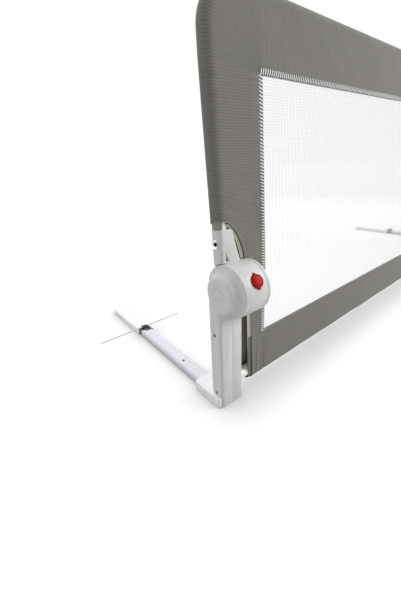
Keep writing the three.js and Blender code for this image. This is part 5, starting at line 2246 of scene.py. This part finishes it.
    def tapes(self) -> list[Piece]:
        """Makes the pale lining tape inside each cut edge.

        Returns:
            The tapes.
        """
        made = []
        parts = (("low", Body.BASE, (self.tape_foot, self.drum_low), self.low_edge, 3.6),
                 ("high", Body.PANEL, self.tape_span, self.arch_x, 2.7))
        for side in Side:
            flip = -1.0 if side is Side.RIGHT else 1.0
            for part, body, (low, high), cut, half in parts:
                path = []
                for i in range(41):
                    z = low + (high - low) * i / 40
                    x = cut(z) - 2.6 + 0.5 * noise.noise(Vector((z / 18, 3.0, 0.0)))
                    path.append(self.lean(RAIL.length - x if side is Side.RIGHT else x, self.front + 1.9, z))
                tape = self.weaver.ribbon(f"{side.value}_{part}_tape", path, Vector((flip * 0.94, -0.34, 0.0)),
                                          Vector((flip * 0.34, 0.94, 0.0)), (half, 0.35))
                self.bench.smooth(tape)
                made.append(self.bench.seat(tape, Palette.lining, body.value))
        return made

    def stitches(self) -> list[Piece]:
        """Makes the white overlock stitching along the net's seam: slant strokes, each return under the binding.

        Returns:
            The threads and the bindings.
        """
        made = []
        left, top = RAIL.seam_x - self.stitch_inset, RAIL.seam_z + self.stitch_inset
        right, foot = RAIL.length - left, RAIL.bar_high + 1.0
        lines = {"left": ((left, foot), (left, RAIL.seam_z)), "top": ((left, top), (right, top)),
                 "right": ((right, RAIL.seam_z), (right, foot))}
        for part, ((x0, z0), (x1, z1)) in lines.items():
            length = math.hypot(x1 - x0, z1 - z0)
            along = Vector(((x1 - x0) / length, 0.0, (z1 - z0) / length))
            cross, up = Vector((-along.z, 0.0, along.x)), Vector((0.0, 1.0, 0.0))
            count = round(length / self.stitch_pitch)
            path, spine = [], []
            for i in range(count):
                for ahead, edge, sunk in self.strokes:
                    reach, sway = length * (i + ahead) / count, self.stitch_width / 2 * edge * self.stitch_share
                    x, z = x0 + along.x * reach, z0 + along.z * reach
                    spine.append(self.lean(x, self.front - self.binding_rise - self.step(z), z))
                    x, z = x + cross.x * sway, z + cross.z * sway
                    path.append(self.lean(x, self.front - self.stitch_rise + sunk - self.step(z), z))
            thread = self.weaver.ribbon(f"{part}_seam_stitch", path, along, up, self.thread)
            binding = self.weaver.ribbon(f"{part}_seam_binding", spine, cross, up, self.binding)
            for piece, look in ((thread, Palette.thread), (binding, Palette.binding)):
                self.bench.finish(piece, look)
                if part == "top":
                    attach(piece, "panel")
                else:
                    self.cross_fold(piece)
                made.append(piece)
        return made

    def build(self) -> None:
        """Makes the cloth, its tapes, its stitches and its cuffs."""
        cloth, flat = self.cover()
        self.bar()
        self.tapes() + self.stitches() + self.cuffs()
        LOG.info("cover cloth %.0f by %.0f mm", flat[0] / MM, flat[1] / MM)


@dataclass
class Net:
    """The fine white net between the cover's seams."""

    bench: Bench
    cover: Cover
    pitch: float = 3.6
    strand: float = 0.32
    thickness: float = 0.3
    y: float = 6.8
    tuck: float = 2.0
    weave: float = 0.18

    def build(self) -> None:
        left, right = RAIL.seam_x - self.tuck, RAIL.length - RAIL.seam_x + self.tuck
        low, high = RAIL.bar_high - self.tuck, RAIL.seam_z + self.tuck
        points: list[Vector] = []
        faces: list[Face] = []

        def add(spots: Sequence[Pair], y: float, wide: Pair) -> None:
            """Adds one strand.

            Args:
                spots: The (X, Z) spots that it runs through.
                y: Its Y.
                wide: The direction of its width in (X, Z).
            """
            faces.extend(strand_faces(len(points), len(spots)))
            for (x, z), (u, v) in product(spots, CORNERS):
                half = u * self.strand / 2
                points.append(self.cover.lean(x + wide[0] * half, y + v * self.thickness / 2,
                                              z + wide[1] * half, z))

        folds = [self.cover.blend_low + (self.cover.blend_high - self.cover.blend_low) * i / 8 for i in range(9)]
        columns, rows = (round((last - first) / self.pitch) for first, last in ((left, right), (low, high)))
        for i in range(columns + 1):
            x = left + (right - left) * i / columns
            add([(x, z) for z in (low, *folds, high)], self.y - self.weave, (1.0, 0.0))
        for j in range(rows + 1):
            z = low + (high - low) * j / rows
            add([(left, z), (right, z)], self.y + self.weave, (0.0, 1.0))
        net = self.bench.mesh("net_weave", points, faces)
        self.bench.edit(net)
        self.bench.close()
        self.bench.finish(net, Palette.net)
        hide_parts("upper_net", "lower_net")
        self.cover.cross_fold(net)


@dataclass
class KeptParts:
    """The frame's own parts that stay as they are, inside the hinge and the post, and the buttons' springs."""

    bench: Bench
    steel: tuple[str, ...] = ("post_core", "hinge_plate", "lock_ring", "axle_bolt", "axle_nut", "lock_pin")
    wire: float = 0.6
    coil: float = 3.3
    turns: int = 5
    travel: float = 4.5

    def build(self) -> None:
        """Dresses each kept part and winds the spring on both sides."""
        looks = {**{name: Palette.steel for name in self.steel}, "hinge_bush": Palette.satin}
        for side in Side:
            for name, look in looks.items():
                self.bench.palette.dress(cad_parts[f"{side.value}_{name}"], look)
            self.spring(side)
        LOG.info("%d kept parts dressed", len(Side) * len(looks))

    def spring(self, side: Side) -> None:
        """Winds a button's spring where the frame's is.

        Args:
            side: The leg that it is in.
        """
        name = f"{side.value}_button_spring"
        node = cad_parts[name]
        spots = [node.matrix_world @ vertex.co for vertex in node.data.vertices]
        middle = sum(spots, Vector()) / len(spots)
        centre = Vector((middle.x, *RAIL.metres(0.0, *RAIL.hinge).yz))
        along = (middle - centre).normalized()
        reach = [(spot - centre).dot(along) for spot in spots]
        low, high, wire = min(reach), max(reach), self.wire * MM
        self.bench.clear()
        bpy.ops.mesh.primitive_circle_add(vertices=12, radius=wire, location=(self.coil * MM, 0.0, wire),
                                          rotation=(math.pi / 2, 0.0, 0.0))
        piece = bpy.context.active_object
        piece.name = f"{side.value}_button_coil"
        bpy.ops.object.transform_apply(location=True, rotation=True)
        winding = piece.modifiers.new("winding", "SCREW")
        winding.axis, winding.angle, winding.iterations = "Z", 2 * math.pi, self.turns
        winding.screw_offset = (high - low - 2 * wire) / self.turns
        winding.steps = winding.render_steps = 24
        self.bench.apply(piece)
        self.bench.edit(piece)
        bpy.ops.mesh.fill_holes(sides=0)
        self.bench.close()
        foot = centre + along * low
        piece.matrix_world = Matrix.Translation(foot) @ along.to_track_quat("Z", "Y").to_matrix().to_4x4()
        self.bench.pick(piece)
        bpy.ops.object.transform_apply(location=True, rotation=True, scale=True)
        self.bench.smooth(piece, 60.0)
        self.bench.seat(piece, Palette.steel, Body.PANEL.value, [name])
        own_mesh(piece)


@dataclass
class Studio:
    """The pale floor, the soft lamps and the camera, whose axes are given in the frame's."""

    eye: Triple = (-1.00024, -0.51860, 0.400)
    right: Triple = (0.7813, -0.6222, -0.0494)
    down: Triple = (-0.2793, -0.2778, -0.9191)
    forward: Triple = (0.5582, 0.7319, -0.3908)
    lens: float = 17.405
    shift: Pair = (-0.0075, -0.0244)
    aim: Triple = (-0.4, -0.2, 0.25)
    surround: float = 0.44
    floor_size: float = 30.0
    floor_drop: float = 0.0004
    # Reach of the floor's painted contact shadow.
    painted_shadow_reach: float = 0.09
    glow_span: Pair = (1.0, 2.4)
    glow_share: Pair = (0.5, 1.0)
    glow_strength: Pair = (1.57, 1.02)
    lamps: tuple[Lamp, ...] = (
        Lamp("key", (2.1, -2.2, 1.9), 96.0, (2.0, 1.6)),
        Lamp("fill", (-2.7, 1.3, 1.2), 13.0, (2.2, 1.6)),
        Lamp("top", (-0.2, 0.8, 3.2), 60.0, (2.8, 2.4)),
    )

    def camera(self) -> None:
        """Sets the camera where the photograph was taken from."""
        data = bpy.data.cameras.new("camera")
        data.sensor_width, data.lens = 36.0, self.lens
        data.shift_x, data.shift_y = self.shift
        data.clip_start, data.clip_end = 0.02, 60.0
        camera = bpy.data.objects.new("camera", data)
        turn = Matrix((self.right, [-v for v in self.down], [-v for v in self.forward])).transposed()
        camera.matrix_world = Matrix.Translation(self.eye) @ turn.to_4x4()
        bpy.context.scene.collection.objects.link(camera)
        bpy.context.scene.camera = camera

    def world(self) -> None:
        """Makes a pale surround that is white where it is seen."""
        world = bpy.data.worlds.new("surround")
        world.use_nodes = True
        bpy.context.scene.world = world
        wires = Wires(world.node_tree)
        white = wires.find("BACKGROUND")
        white.inputs["Color"].default_value = (1.0, 1.0, 1.0, 1.0)
        light = wires.add("ShaderNodeBackground", Color=(0.95, 0.97, 1.0, 1.0), Strength=self.surround)
        mixed = wires.over(wires.seen(), light.outputs[0], white.outputs[0])
        wires.link(mixed, wires.find("OUTPUT_WORLD").inputs["Surface"])

    def floor(self) -> None:
        """Makes the floor: white where it is seen, and it keeps the rail's shadow; ambient occlusion also paints
        contact shadow into its glow near the rail.
        """
        bpy.ops.object.select_all(action="DESELECT")
        bpy.ops.mesh.primitive_plane_add(size=self.floor_size, location=(0.0, 0.0, -self.floor_drop))
        floor = bpy.context.active_object
        floor.name = "floor"
        bpy.ops.object.transform_apply(location=True)
        board = Board("floor_paper")
        board.drive(Base_Color=board.tones(board.noise(board.coords, 3.0), (188, 188, 188), 0, 6))
        board.set(Roughness=0.9, Specular_IOR_Level=0.1)
        far = board.add("ShaderNodeVectorMath")
        far.operation = "LENGTH"
        board.link(board.coords, far.inputs[0])
        # Painted contact shadow: ambient occlusion darkens the floor's glow near the rail.
        near = board.add("ShaderNodeAmbientOcclusion", Distance=self.painted_shadow_reach)
        near.samples = 12
        glow = board.add("ShaderNodeEmission")
        board.link(near.outputs["Color"], glow.inputs["Color"])
        share, strength = (board.spread(far.outputs["Value"], *ends, self.glow_span)
                           for ends in (self.glow_share, self.glow_strength))
        board.link(strength, glow.inputs["Strength"])
        factor = board.maths("MULTIPLY", board.seen(), share)
        mixed = board.over(factor, board.shader.outputs[0], glow.outputs[0])
        board.link(mixed, board.output.inputs["Surface"])
        floor.data.materials.append(board.material)

    def build(self) -> None:
        """Builds the studio."""
        self.camera()
        self.world()
        self.floor()
        for lamp in self.lamps:
            lamp.hang(Vector(self.aim))
        bpy.context.scene.view_settings.view_transform = "Standard"


def main() -> None:
    """Builds the rail in order."""
    logging.basicConfig(level=logging.INFO, format="%(name)s: %(message)s")
    bench = Bench(Palette())
    cover = Cover(bench, Weaver(bench))
    for part in (Studio(), Post(bench), BaseArm(bench), Drum(bench), TubeFrame(bench), cover,
                 Net(bench, cover), KeptParts(bench)):
        part.build()
        LOG.info("%s built", type(part).__name__)


if __name__ == "__main__":
    main()
